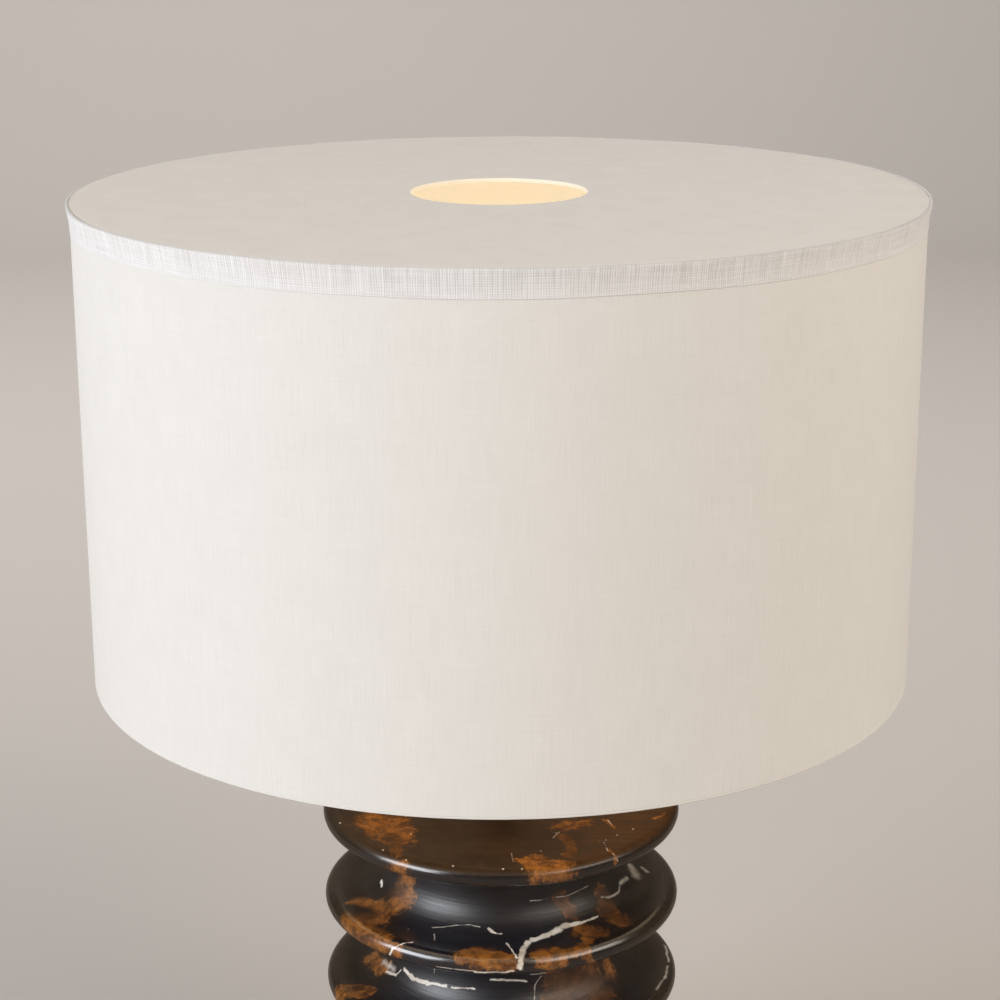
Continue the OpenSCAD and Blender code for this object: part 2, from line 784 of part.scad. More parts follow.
marble_body();
base_pad();
pocket_washer();
pocket_nut();
lamp_pipe();
cord_bushing();
seating_ring();
neck_tube();
harp_saddle();
saddle_nut();
socket_cap();
socket_shell();
socket_liner();
socket_block();
terminal_screws();
screw_shell();
centre_contact();
switch_spindle();
switch_knob();
harp();
harp_stud();
ferrule_left();
ferrule_right();
bulb_globe();
bulb_base();
bulb_insulator();
bulb_contact();
spider();
shade_top_ring();
shade_bottom_ring();
shade_panel();
shade_linen();
top_board();
top_linen();
top_band();
bottom_hem();
finial();
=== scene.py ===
"""Looks of a table lamp: a turned, ribbed body of black and rust marble under a linen drum shade.

Lengths are metres. The lamp stands on the origin, +Z is up, and the viewer is at -Y.
"""
import math

import bmesh
import bpy
import numpy as np
from mathutils import Matrix, Vector
from mathutils.bvhtree import BVHTree


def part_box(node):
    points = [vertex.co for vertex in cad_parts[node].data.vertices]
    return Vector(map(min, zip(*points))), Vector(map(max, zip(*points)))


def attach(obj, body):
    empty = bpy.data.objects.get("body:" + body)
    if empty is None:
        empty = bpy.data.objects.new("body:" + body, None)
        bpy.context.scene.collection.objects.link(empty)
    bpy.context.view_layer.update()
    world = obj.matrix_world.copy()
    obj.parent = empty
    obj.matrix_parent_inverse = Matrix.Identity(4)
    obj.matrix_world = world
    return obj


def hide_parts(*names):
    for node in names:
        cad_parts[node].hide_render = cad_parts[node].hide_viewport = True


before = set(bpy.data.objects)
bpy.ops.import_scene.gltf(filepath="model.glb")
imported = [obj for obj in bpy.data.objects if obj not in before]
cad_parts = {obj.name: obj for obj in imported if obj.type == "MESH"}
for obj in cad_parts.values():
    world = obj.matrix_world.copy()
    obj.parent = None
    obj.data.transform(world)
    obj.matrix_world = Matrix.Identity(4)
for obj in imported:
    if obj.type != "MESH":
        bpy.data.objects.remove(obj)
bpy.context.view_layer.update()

MM = 0.001
FULL_TURN = 2 * math.pi
BACK = math.pi / 2
SHARP_DEG = 40

# Camera, fitted to the rim, the hole and the lower edge of the shade
VIEW_PIXELS = 1000
FOCAL_PIXELS = 2291
SENSOR_MM = 36
CAMERA_DISTANCE = 1.190
CAMERA_ABOVE_RIM = 0.1779
CAMERA_PITCH_DEG = 16.20
CAMERA_ROLL_DEG = -0.20

# Turned stone, as the part's source has it
RIB_COUNT = 6
RIB_PITCH = 50.8 * MM
NOSE_R = 5.5 * MM
CORE_R = 65 * MM
PIPE_HOLE_R = 5.8 * MM
POCKET_R = 32 * MM
OUTLET_R = 4.65 * MM
OUTLET_FACE_R = 7.05 * MM
OUTLET_FACE_Y = 64.5 * MM
POCKET_HEADROOM = 5 * MM

# Cloth
LINEN_T = 0.6 * MM
SEAM_LAP = 12 * MM
FINE_PITCH = 0.55 * MM
TRIM_PITCH = 1.15 * MM
LIP_R = 0.9 * MM
HOLE_R = 45.8 * MM
GLOW_COLOUR = (1.0, 0.84, 0.50, 1)
# Painted shade on the band's lip, for the shadow line beside the disc
PAINTED_LIP_SHADE_COLOUR = (0.47, 0.445, 0.41, 1)
DRUM_LIGHT, DRUM_DARK = (0.865, 0.845, 0.815, 1), (0.67, 0.645, 0.610, 1)
BAND_LIGHT, BAND_DARK = (0.97, 0.955, 0.94, 1), (0.67, 0.645, 0.62, 1)
# Painted shade: the disc is of the band's cloth, painted darker for the lesser light on its flat top
DISC_SHADED_LIGHT, DISC_SHADED_DARK = (0.760, 0.716, 0.667, 1), (0.575, 0.532, 0.472, 1)

# Colours of the stone
BLUE_BLACK, DARK_BROWN = (0.0085, 0.0085, 0.0160, 1), (0.0190, 0.0118, 0.0062, 1)
SMOKE_GREY, HALO_BROWN = (0.030, 0.029, 0.036, 1), (0.030, 0.0145, 0.007, 1)
TOP_SHADE, TOP_GRAIN = (0.015, 0.0075, 0.0040, 1), (0.0100, 0.0070, 0.0055, 1)
# The flat top's colours are painted: the lit shade mirrored in it, lighter to the right, and a painted grey
# sheen at its far left end
TOP_LEFT, TOP_RIGHT = (0.038, 0.0195, 0.0085, 1), (0.082, 0.034, 0.0100, 1)
LEFT_END_PAINTED_SHEEN, TOP_RIGHT_END = (0.034, 0.026, 0.020, 1), (0.095, 0.0385, 0.0100, 1)
RUST_DARK, RUST_LIGHT = (0.070, 0.022, 0.0045, 1), (0.370, 0.130, 0.018, 1)
RUST_GRAIN, RUST_PIT = (0.52, 0.240, 0.075, 1), (0.045, 0.0150, 0.0045, 1)
RUST_STAIN, RUST_DEEP = (0.030, 0.012, 0.006, 1), (0.050, 0.0170, 0.0040, 1)
CREAM_LIGHT, CREAM_DARK = (1.0, 0.93, 0.82, 1), (0.78, 0.68, 0.56, 1)
HAIRLINE_COLOUR = (0.20, 0.17, 0.15, 1)
TOP_TINT = (1.0, 0.66, 0.38, 1)
WHITE, BLACK = (1, 1, 1, 1), (0, 0, 0, 1)

# Bulb and surroundings
BULB_STRENGTH = 8.0
# HOLE_GLOW is the strength of the painted glow on the drum's inside under the top disc
HOLE_GLOW = 0.35
BULB_LIGHT, BULB_NECK_LIGHT = (1.0, 0.76, 0.47, 1), (0.45, 0.28, 0.13, 1)
BULB_COAT, BULB_NECK_COAT = (0.92, 0.90, 0.85, 1), (0.80, 0.76, 0.68, 1)
BACKING_LIGHT = (1.0, 0.79, 0.50, 1)
BACKING_LOW, BACKING_HIGH = (0.86, 0.84, 0.79, 1), (0.91, 0.89, 0.85, 1)
FLOOR_COLOUR, FLOOR_CLOUDS = (0.56, 0.52, 0.485, 1), (0.60, 0.56, 0.52, 1)
ROOM_COLOUR = (0.10, 0.066, 0.038, 1)
SKY_COLOUR, MIRRORED_SKY = (0.90, 0.93, 1.0, 1), (0.42, 0.30, 0.19, 1)
SKY_STRENGTH = 0.24

# Soft lights: the name, the place, what it faces, its width and height, its watts and its colour
LAMP_MIDDLE = (0, 0, 0.40)
LIGHTS = (
    ("window_light", (-2.15, -1.3, 1.25), LAMP_MIDDLE, 1.8, 1.4, 54, (0.925, 0.955, 1.0)),
    ("room_light", (1.95, -1.35, 2.4), LAMP_MIDDLE, 3.0, 2.2, 63, (1.0, 0.90, 0.78)),
    ("ceiling_light", (0.0, 0.3, 2.9), LAMP_MIDDLE, 2.4, 2.4, 14, (1.0, 0.97, 0.92)),
    ("backdrop_light", (-0.9, 1.3, 2.7), (-0.6, 4.3, 1.35), 3.0, 0.8, 76, (1.0, 0.98, 0.95)),
)


# Meshes

def quad_surface(name, points, wrap_u=False, wrap_v=False, corner_uv=None):
    """A mesh of quads over a grid of points; wrapping joins the last row or column to the first.

    corner_uv gives a UV for every grid line's crossing, with one more line along a wrapped side.
    """
    count_u, count_v = points.shape[:2]
    cells_u = count_u if wrap_u else count_u - 1
    cells_v = count_v if wrap_v else count_v - 1
    i, j = np.meshgrid(np.arange(cells_u), np.arange(cells_v), indexing="ij")
    i_next, j_next = (i + 1) % count_u, (j + 1) % count_v
    quads = np.stack([i * count_v + j, i_next * count_v + j,
                      i_next * count_v + j_next, i * count_v + j_next], axis=-1).reshape(-1, 4)
    mesh = bpy.data.meshes.new(name)
    mesh.from_pydata(points.reshape(-1, 3).tolist(), [], quads.tolist())
    if corner_uv is not None:
        corners = np.stack([corner_uv[i, j], corner_uv[i + 1, j],
                            corner_uv[i + 1, j + 1], corner_uv[i, j + 1]], axis=2)
        layer = mesh.uv_layers.new(name="cloth_uv")
        layer.data.foreach_set("uv", corners.reshape(-1).astype(np.float32))
    mesh.polygons.foreach_set("use_smooth", np.ones(len(mesh.polygons), dtype=bool))
    mesh.set_sharp_from_angle(angle=math.radians(SHARP_DEG))
    mesh.update()
    piece = bpy.data.objects.new(name, mesh)
    bpy.context.scene.collection.objects.link(piece)
    return piece


def turned_points(profile, angles, swell=None):
    """Profile points (radius, height) carried round the axis to each angle.

    swell is added to the radius, as an array over (angle, profile point).
    """
    radius = np.broadcast_to(profile[None, :, 0], (len(angles), len(profile)))
    if swell is not None:
        radius = radius + swell
    height = np.broadcast_to(profile[None, :, 1], radius.shape)
    return np.stack([radius * np.cos(angles)[:, None], radius * np.sin(angles)[:, None], height], axis=-1)


def full_circle(steps):
    """Angles round the axis from the back, without the last one."""
    return BACK + np.arange(steps) * FULL_TURN / steps


def ripple(angles, parts):
    """Sum of small sines round the axis; parts holds (amplitude, waves in a turn, phase)."""
    return sum(size * np.sin(waves * angles + phase) for size, waves, phase in parts)


def arc(centre, radius, start_deg, end_deg, steps):
    """Points of an arc from one angle to another, both ends included."""
    turn = np.radians(np.linspace(start_deg, end_deg, steps + 1))
    return np.stack([centre[0] + radius * np.cos(turn), centre[1] + radius * np.sin(turn)], axis=-1)


def line(start, end, steps):
    """Points along a straight line, without either end."""
    share = np.linspace(0, 1, steps + 1)[1:-1, None]
    return np.array(start) + share * (np.array(end) - np.array(start))


def apply_modifiers(piece):
    """Turns the piece's modifiers into its mesh."""
    graph = bpy.context.evaluated_depsgraph_get()
    mesh = bpy.data.meshes.new_from_object(piece.evaluated_get(graph))
    mesh.set_sharp_from_angle(angle=math.radians(SHARP_DEG))
    piece.modifiers.clear()
    piece.data = mesh


def dress(piece, material, slot, body, *nodes):
    """Gives a piece its material, hides the CAD nodes it stands for, and mounts it. The slot is not used."""
    piece.data.materials.clear()
    piece.data.materials.append(material)
    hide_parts(*nodes)
    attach(piece, body)
    return piece


# Node trees

class Graph:
    """Short calls that add nodes to one tree; each returns an output socket."""

    def __init__(self, tree):
        self.tree = tree

    def feed(self, socket, value):
        if isinstance(value, bpy.types.NodeSocket):
            self.tree.links.new(value, socket)
        else:
            socket.default_value = value

    def node(self, kind, sockets=None, **settings):
        made = self.tree.nodes.new(kind)
        for name, value in settings.items():
            setattr(made, name, value)
        for name, value in (sockets or {}).items():
            self.feed(made.inputs[name], value)
        return made

    def math(self, operation, a, b=0.0, clamp=False):
        made = self.node("ShaderNodeMath", {0: a, 1: b}, operation=operation, use_clamp=clamp)
        return made.outputs[0]

    def vector(self, operation, a, b=(0, 0, 0)):
        made = self.node("ShaderNodeVectorMath", {0: a, 1: b}, operation=operation)
        return made.outputs["Value" if operation in ("DOT_PRODUCT", "DISTANCE", "LENGTH") else "Vector"]

    def scaled(self, vector, factor):
        made = self.node("ShaderNodeVectorMath", {0: vector, "Scale": factor}, operation="SCALE")
        return made.outputs["Vector"]

    def split(self, vector):
        return self.node("ShaderNodeSeparateXYZ", {0: vector}).outputs

    def noise(self, where, scale, detail=2.0, roughness=0.5, distortion=0.0, output="Fac"):
        made = self.node("ShaderNodeTexNoise", {
            "Vector": where, "Scale": scale, "Detail": detail, "Roughness": roughness,
            "Distortion": distortion})
        return made.outputs[output]

    def ramp(self, value, low, high):
        """0 below low, 1 above high, smooth between; low may be above high."""
        made = self.node("ShaderNodeMapRange", {"Value": value, "From Min": low, "From Max": high},
                         interpolation_type="SMOOTHSTEP")
        return made.outputs["Result"]

    def level(self, value, low, high):
        """A value of 0 to 1 stretched to the range from low to high."""
        made = self.node("ShaderNodeMapRange", {"Value": value, "To Min": low, "To Max": high})
        return made.outputs["Result"]

    def mix(self, share, a, b):
        made = self.node("ShaderNodeMix", {0: share, 6: a, 7: b}, data_type="RGBA")
        return made.outputs[2]

    def bump(self, height, distance, strength=1.0):
        made = self.node("ShaderNodeBump", {"Height": height, "Distance": distance, "Strength": strength})
        return made.outputs["Normal"]

    def object_position(self):
        return self.node("ShaderNodeTexCoord").outputs["Object"]

    def cloth_position(self):
        return self.node("ShaderNodeUVMap", uv_map="cloth_uv").outputs["UV"]

    def group(self, shared, **inputs):
        made = self.node("ShaderNodeGroup", node_tree=shared)
        for name, value in inputs.items():
            self.feed(made.inputs[name], value)
        return made.outputs


def shared_group(name, inputs, outputs):
    """An empty node group with named sockets; returns it, its graph and its input and output nodes."""
    group = bpy.data.node_groups.new(name, "ShaderNodeTree")
    for socket, kind in inputs.items():
        group.interface.new_socket(socket, in_out="INPUT", socket_type=kind)
    for socket, kind in outputs.items():
        group.interface.new_socket(socket, in_out="OUTPUT", socket_type=kind)
    graph = Graph(group)
    return group, graph, graph.node("NodeGroupInput").outputs, graph.node("NodeGroupOutput").inputs


def new_material(name, **constants):
    """A material with one Principled shader; constants go on the shader's own sockets."""
    material = bpy.data.materials.new(name)
    material.use_nodes = True
    graph = Graph(material.node_tree)
    material.node_tree.nodes.clear()
    shader = graph.node("ShaderNodeBsdfPrincipled")
    for socket, value in constants.items():
        shader.inputs[socket.replace("_", " ")].default_value = value
    output = graph.node("ShaderNodeOutputMaterial")
    graph.feed(output.inputs["Surface"], shader.outputs["BSDF"])
    return material, graph, shader.inputs


def make_weave_group():
    """Plain weave: two crossed sets of threads over and under each other, with slubby ones among them.

    Upright and Level set how much the two sets of threads show, Fineness how narrow the slubby ones are,
    and Cloud the mottling.
    """
    group, g, inside, out = shared_group(
        "plain_weave",
        {"Cloth": "NodeSocketVector", "Pitch": "NodeSocketFloat", "Upright": "NodeSocketFloat",
         "Level": "NodeSocketFloat", "Fineness": "NodeSocketFloat", "Cloud": "NodeSocketFloat"},
        {"Height": "NodeSocketFloat", "Tone": "NodeSocketFloat"})
    drift = g.vector("SUBTRACT", g.noise(inside["Cloth"], 140, 2, output="Color"), (0.5, 0.5, 0.5))
    cloth = g.vector("ADD", inside["Cloth"], g.scaled(drift, 0.3 * MM))
    threads = g.split(g.scaled(cloth, g.math("DIVIDE", math.pi, inside["Pitch"])))
    across, along = g.math("SINE", threads[0]), g.math("SINE", threads[1])
    bodies = g.math("ADD", g.math("ABSOLUTE", across), g.math("ABSOLUTE", along))
    crossing = g.math("MULTIPLY", across, along)
    plain = g.math("ADD", g.math("MULTIPLY", bodies, 0.35), g.math("MULTIPLY", crossing, 0.25))
    tone, height = 0.0, plain
    for wave, stretch, share in ((across, (1250, 25, 1), "Upright"), (along, (22, 1050, 1), "Level")):
        even = g.math("MULTIPLY", g.math("SUBTRACT", g.math("ABSOLUTE", wave), 0.64), inside[share])
        tone = g.math("ADD", tone, g.math("MULTIPLY", even, 0.24))
        drawn_out = g.scaled(g.vector("MULTIPLY", cloth, stretch), inside["Fineness"])
        uneven = g.math("SUBTRACT", g.noise(drawn_out, 1, 3, 0.6), 0.5)
        shown = g.math("MULTIPLY", uneven, inside[share])
        tone = g.math("ADD", tone, shown)
        height = g.math("ADD", height, shown)
    clouds = g.math("SUBTRACT", g.noise(inside["Cloth"], 45, 4, 0.6), 0.5)
    clouds = g.math("MULTIPLY", clouds, inside["Cloud"])
    g.feed(out["Height"], height)
    g.feed(out["Tone"], g.math("ADD", g.math("ADD", tone, clouds), 0.5, clamp=True))
    return group


def make_stroke_group():
    """How deep a point lies in a round-ended stroke: 1 on its middle line, 0 at its radius, less outside."""
    group, g, inside, out = shared_group(
        "stone_stroke",
        {"Position": "NodeSocketVector", "Start": "NodeSocketVector", "Run": "NodeSocketVector",
         "Inverse": "NodeSocketFloat", "Radius": "NodeSocketFloat"},
        {"Depth": "NodeSocketFloat"})
    offset = g.vector("SUBTRACT", inside["Position"], inside["Start"])
    share = g.math("MULTIPLY", g.vector("DOT_PRODUCT", offset, inside["Run"]), inside["Inverse"])
    share = g.math("MINIMUM", g.math("MAXIMUM", share, 0.0), 1.0)
    distance = g.vector("DISTANCE", offset, g.scaled(inside["Run"], share))
    g.feed(out["Depth"], g.math("SUBTRACT", 1.0, g.math("DIVIDE", distance, inside["Radius"])))
    return group


def make_jitter_group():
    """A position pushed about by coarse and fine noise, each by its own amount in metres."""
    group, g, inside, out = shared_group(
        "jittered_position",
        {"Position": "NodeSocketVector", "Coarse": "NodeSocketFloat", "Fine": "NodeSocketFloat"},
        {"Position": "NodeSocketVector"})
    moved = inside["Position"]
    for scale, amount in ((55, "Coarse"), (330, "Fine")):
        push = g.vector("SUBTRACT", g.noise(inside["Position"], scale, 2, output="Color"), (0.5, 0.5, 0.5))
        moved = g.vector("ADD", moved, g.scaled(push, g.math("MULTIPLY", inside[amount], 2)))
    g.feed(out["Position"], moved)
    return group


def make_handling_group():
    """Fine wear for metal and plastic: cloudy roughness, a faint tone, and hairline height."""
    group, g, inside, out = shared_group(
        "handled_surface",
        {"Position": "NodeSocketVector", "Grain": "NodeSocketFloat", "Wear": "NodeSocketFloat"},
        {"Tone": "NodeSocketFloat", "Roughness": "NodeSocketFloat", "Height": "NodeSocketFloat"})
    clouds = g.noise(inside["Position"], 90, 4, 0.6)
    hairs = g.noise(g.vector("MULTIPLY", inside["Position"], (1, 1, 14)), inside["Grain"], 3, 0.6)
    g.feed(out["Tone"], clouds)
    unevenness = g.math("SUBTRACT", g.math("ADD", clouds, hairs), 1)
    g.feed(out["Roughness"], g.math("MULTIPLY", unevenness, inside["Wear"]))
    g.feed(out["Height"], hairs)
    return group


weave_group = make_weave_group()
stroke_group = make_stroke_group()
jitter_group = make_jitter_group()
handling_group = make_handling_group()


# Camera, which the stone's markings are placed through

def make_camera(rim_z):
    """The photograph's view: in front, a little above the rim, pitched down, with a slight roll."""
    data = bpy.data.cameras.new("camera")
    data.sensor_width = SENSOR_MM
    data.lens = SENSOR_MM * FOCAL_PIXELS / VIEW_PIXELS
    data.clip_end = 50
    camera = bpy.data.objects.new("camera", data)
    bpy.context.scene.collection.objects.link(camera)
    camera.matrix_world = (
        Matrix.Translation((0, -CAMERA_DISTANCE, rim_z + CAMERA_ABOVE_RIM))
        @ Matrix.Rotation(math.radians(90 - CAMERA_PITCH_DEG), 4, "X")
        @ Matrix.Rotation(math.radians(CAMERA_ROLL_DEG), 4, "Z"))
    bpy.context.scene.camera = camera
    return camera


def point_seen_at(pixel, camera, tree):
    """Where the line of sight through a pixel meets the stone."""
    half = VIEW_PIXELS / 2
    sight = camera.matrix_world.to_3x3() @ Vector((pixel[0] - half, half - pixel[1], -FOCAL_PIXELS))
    hit = tree.ray_cast(camera.matrix_world.translation, sight.normalized())[0]
    if hit is None:
        raise ValueError(f"no stone is seen at pixel {pixel}")
    return hit


# The stone

def stone_profile(rib_r, bottom, top):
    """Half the stone's outline, round the outside, down the pipe's hole and round the pocket.

    Each rib is a slab with a half-round nose, and a half-round cove lies between each two.
    """
    nose_x = rib_r - NOSE_R
    cove_r = RIB_PITCH / 2 - NOSE_R
    cove_x = CORE_R + cove_r
    parts = [line((POCKET_R, bottom), (nose_x, bottom), 8)]
    for i in range(RIB_COUNT):
        nose_z = bottom + NOSE_R + i * RIB_PITCH
        parts.append(arc((nose_x, nose_z), NOSE_R, -90, 90, 14))
        if i + 1 < RIB_COUNT:
            slab_top, next_bottom = nose_z + NOSE_R, nose_z + RIB_PITCH - NOSE_R
            parts.append(line((nose_x, slab_top), (cove_x, slab_top), 4))
            parts.append(arc((cove_x, nose_z + RIB_PITCH / 2), cove_r, -90, -270, 28))
            parts.append(line((cove_x, next_bottom), (nose_x, next_bottom), 4))
    outlet_z = bottom + NOSE_R + RIB_PITCH / 2
    pocket_top = outlet_z + OUTLET_R + POCKET_HEADROOM
    parts.append(line((nose_x, top), (PIPE_HOLE_R, top), 10))
    parts.append(np.array([(PIPE_HOLE_R, top), (PIPE_HOLE_R, pocket_top),
                           (POCKET_R, pocket_top), (POCKET_R, bottom)]))
    return np.concatenate(parts), outlet_z


def stepped_cutter(outlet_z):
    """A closed, stepped rod along +Y that cuts the cord outlet and the flat face round it."""
    in_pocket, past_cove = 20 * MM, 85 * MM
    rod = np.array([(0.0, in_pocket), (OUTLET_R, in_pocket), (OUTLET_R, OUTLET_FACE_Y),
                    (OUTLET_FACE_R, OUTLET_FACE_Y), (OUTLET_FACE_R, past_cove), (0.0, past_cove)])
    cutter = quad_surface("outlet_cutter", turned_points(rod, full_circle(48)), wrap_u=True)
    cutter.data.transform(Matrix.Translation((0, 0, outlet_z)) @ Matrix.Rotation(-math.pi / 2, 4, "X"))
    merge_poles(cutter)
    return cutter


def merge_poles(piece):
    """Joins the points that lie together, such as a pole's, and turns the faces outwards."""
    work = bmesh.new()
    work.from_mesh(piece.data)
    bmesh.ops.remove_doubles(work, verts=work.verts, dist=1e-7)
    bmesh.ops.recalc_face_normals(work, faces=work.faces)
    work.to_mesh(piece.data)
    work.free()


def make_stone():
    """The marble body: the outline turned about the axis, with the hand-polished ribs not quite true."""
    low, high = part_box("marble_body")
    profile, outlet_z = stone_profile(high[0], low[2], high[2])
    angles = full_circle(256)
    uneven = ripple(angles, ((0.10 * MM, 2, 0.4), (0.07 * MM, 3, 1.9), (0.04 * MM, 5, 4.1)))
    wander = np.sin(profile[:, 1] / (17 * MM)) * (profile[:, 0] > POCKET_R + MM)
    stone = quad_surface("marble_body_polished", turned_points(profile, angles, uneven[:, None] * wander),
                         wrap_u=True, wrap_v=True)
    cutter = stepped_cutter(outlet_z)
    cut = stone.modifiers.new("cord_outlet", "BOOLEAN")
    cut.operation = "DIFFERENCE"
    cut.solver = "EXACT"
    cut.object = cutter
    apply_modifiers(stone)
    bpy.data.objects.remove(cutter)
    return stone


# How far rust spreads past its strokes, as a share of their radius
RUST_SPREAD = 0.38

# Markings of the stone in view: the radius in millimetres at the start and at the end of a stroke,
# then pixels of the photograph along its middle
RUST_PATCHES = (
    (9, 10, (371, 818), (384, 826)), (10, 8, (392, 822), (398, 838)), (4, 2.5, (396, 846), (398, 851)),
    (4, 3, (362, 822), (376, 834)), (5, 8, (531, 860), (546, 869)), (8, 6, (546, 869), (562, 868)),
    (2.5, 3, (566, 836), (569, 846), (571, 856)), (5, 5, (563, 826), (575, 824), (588, 823)),
    (1.2, 1.2, (607, 820), (614, 828)), (1.4, 0.9, (603, 840), (609, 850), (618, 862)),
    (2.5, 1.5, (655, 818), (664, 812)),
    (5, 6, (396, 870), (404, 882), (404, 892)), (8, 7, (402, 896), (392, 907)),
    (6, 5, (384, 908), (364, 904)), (5, 3, (352, 902), (362, 900)),
    (8, 9, (376, 918), (352, 922)), (8, 6, (360, 929), (380, 938)),
    (5, 3, (384, 942), (396, 949)),
    (3, 5, (465, 953), (477, 951)), (6, 7, (484, 957), (500, 962)), (5, 4, (500, 966), (507, 970)),
    (6, 7, (545, 955), (557, 960)), (3, 3, (566, 951), (580, 946)),
    (6, 6, (583, 929), (594, 933)), (3, 2, (589, 940), (587, 952), (591, 962)),
    (5, 4, (601, 893), (605, 904)), (6, 6, (606, 912), (621, 921)), (4, 5, (561, 900), (569, 911)),
    (9, 11, (562, 985), (577, 981)), (9, 8, (590, 975), (598, 992)), (5, 5, (606, 962), (611, 972)),
    (6, 7, (342, 994), (360, 992)), (4, 5, (372, 956), (382, 968)),
)
DEEP_PATCHES = (
    (12, 14, (560, 985), (595, 992)), (6, 7, (606, 912), (624, 921)), (5, 5, (561, 900), (569, 911)),
    (8, 6, (372, 914), (350, 912)), (5, 5, (392, 836), (398, 852)), (4, 4, (566, 836), (571, 856)),
    (5, 4, (601, 893), (605, 904)),
)
PALE_VEINS = (
    (0.9, 1.9, (597, 916), (580, 922), (565, 926)), (2.0, 2.5, (565, 926), (548, 935), (532, 940)),
    (2.3, 2.7, (527, 943), (522, 954), (519, 968)), (0.7, 1.1, (506, 943), (512, 950), (516, 958)),
    (1.3, 0.7, (489, 928), (493, 931), (501, 933)),
    (0.7, 0.9, (412, 942), (401, 944), (393, 948), (390, 955)),
    (1.2, 1.0, (386, 972), (396, 976)), (0.7, 0.7, (396, 976), (401, 970)),
    (1.1, 1.3, (475, 972), (500, 973), (512, 972)), (1.7, 1.9, (405, 970), (414, 979)),
    (1.7, 0.8, (414, 979), (430, 984), (446, 986)), (0.6, 0.9, (452, 987), (466, 988), (474, 989)),
    (1.1, 0.8, (490, 980), (508, 980), (527, 981)), (1.4, 1.1, (382, 880), (382.5, 885)),
)
GREY_VEINS = (
    (5.0, 4.4, (630, 865), (636, 876)), (1.5, 1.3, (642, 867), (647, 872)),
    (1.7, 1.4, (628, 878), (620, 884)),
    (1.0, 0.9, (620, 886), (619, 892), (610, 897), (602, 897)), (0.9, 1.3, (664, 945), (669, 962)),
    (1.2, 0.8, (668, 966), (665, 978), (656, 990)), (3.0, 2.0, (384, 962), (394, 970)),
)
FINE_LINES = (
    (0.35, 0.55, (408, 929), (435, 927), (456, 925), (470, 925)), (0.5, 0.3, (470, 925), (480, 927)),
    (0.6, 0.4, (434, 934), (434.5, 940)), (0.45, 0.8, (437, 967), (455, 969), (475, 971)),
    (0.6, 0.4, (531, 974), (545, 973)), (0.5, 0.6, (541, 976), (535, 985), (534, 998)),
    (0.4, 0.4, (530, 901), (547, 899), (565, 896)), (0.3, 0.3, (565, 896), (588, 886)),
    (0.5, 0.5, (434, 969), (434, 973)), (0.4, 0.3, (512, 853), (514, 864)),
    (0.3, 0.3, (553, 838), (560, 832)), (0.6, 0.4, (604, 842), (608, 851)),
    (0.5, 0.5, (612, 853), (618, 861)), (0.5, 0.4, (608, 820), (612, 825)),
)
PALE_SPECKS = (
    (0.8, 0.8, (340, 823)), (0.8, 0.8, (383, 850)), (0.8, 0.8, (453, 866)), (0.8, 0.8, (503, 869)),
    (0.7, 0.7, (522, 869)), (0.8, 0.8, (633, 829)), (0.7, 0.7, (617, 835)), (0.7, 0.7, (541, 851)),
    (0.6, 0.6, (411, 834)), (0.6, 0.6, (406, 860)), (0.6, 0.6, (606, 840)), (0.6, 0.6, (556, 833)),
)


def stroke_segments(strokes, camera, tree):
    """The strokes as (start, run, radius) on the stone, one for each two neighbouring pixels."""
    segments = []
    for start_mm, end_mm, *pixels in strokes:
        places = [point_seen_at(pixel, camera, tree) for pixel in pixels]
        if len(places) == 1:
            places.append(places[0] + Vector((0, 0, 0.1 * MM)))
        count = len(places) - 1
        for i, (a, b) in enumerate(zip(places, places[1:])):
            radius = start_mm + (end_mm - start_mm) * (i + 0.5) / count
            segments.append((a, b - a, radius * MM))
    return segments


def stroke_depth(g, position, segments):
    """The greatest depth of a position in any of the strokes."""
    deepest = None
    for start, run, radius in segments:
        depth = g.group(stroke_group, Position=position, Start=tuple(start), Run=tuple(run),
                        Inverse=1 / run.length_squared, Radius=radius)["Depth"]
        deepest = depth if deepest is None else g.math("MAXIMUM", deepest, depth)
    return deepest


def marble_ground(g, place, x, wide, top_face):
    """Blue-black stone, browner in random clouds and towards the sides in view, and clouded grey; its flat
    top is a streaky brown. The brown towards the sides is painted warm light; the flat top's brown, lighter
    and more orange to the right, is a painted reflection of the lit shade, with a painted grey sheen at its
    far left end.
    """
    streaky = g.noise(g.vector("MULTIPLY", place, (1, 1, 2.2)), 16, 6, 0.6, 1.2)
    # Painted warm light: browner towards the stone's sides in view
    painted_side_light = g.ramp(g.math("ABSOLUTE", x), 35 * MM, 85 * MM)
    browner = g.math("MAXIMUM", g.ramp(wide, 0.42, 0.62), painted_side_light)
    ground = g.mix(browner, BLUE_BLACK, DARK_BROWN)
    ground = g.mix(g.math("MULTIPLY", g.ramp(streaky, 0.52, 0.74), 0.5), ground, SMOKE_GREY)
    # Painted reflection of the lit shade on the flat top, lighter to the right, with a painted sheen at the
    # far left
    across = g.mix(g.ramp(x, -70 * MM, 80 * MM), TOP_LEFT, TOP_RIGHT)
    brown = g.mix(g.ramp(streaky, 0.33, 0.63), TOP_SHADE, across)
    brown = g.mix(g.math("MULTIPLY", g.ramp(x, 10 * MM, 75 * MM), 0.65), brown, TOP_RIGHT_END)
    brown = g.mix(g.math("MULTIPLY", g.ramp(x, -60 * MM, -85 * MM), 0.80), brown, LEFT_END_PAINTED_SHEEN)
    grain = g.ramp(g.noise(g.vector("MULTIPLY", place, (16, 190, 1)), 1, 4, 0.65), 0.42, 0.60)
    brown = g.mix(g.math("MULTIPLY", grain, 0.38), brown, TOP_GRAIN)
    return g.mix(top_face, ground, brown)


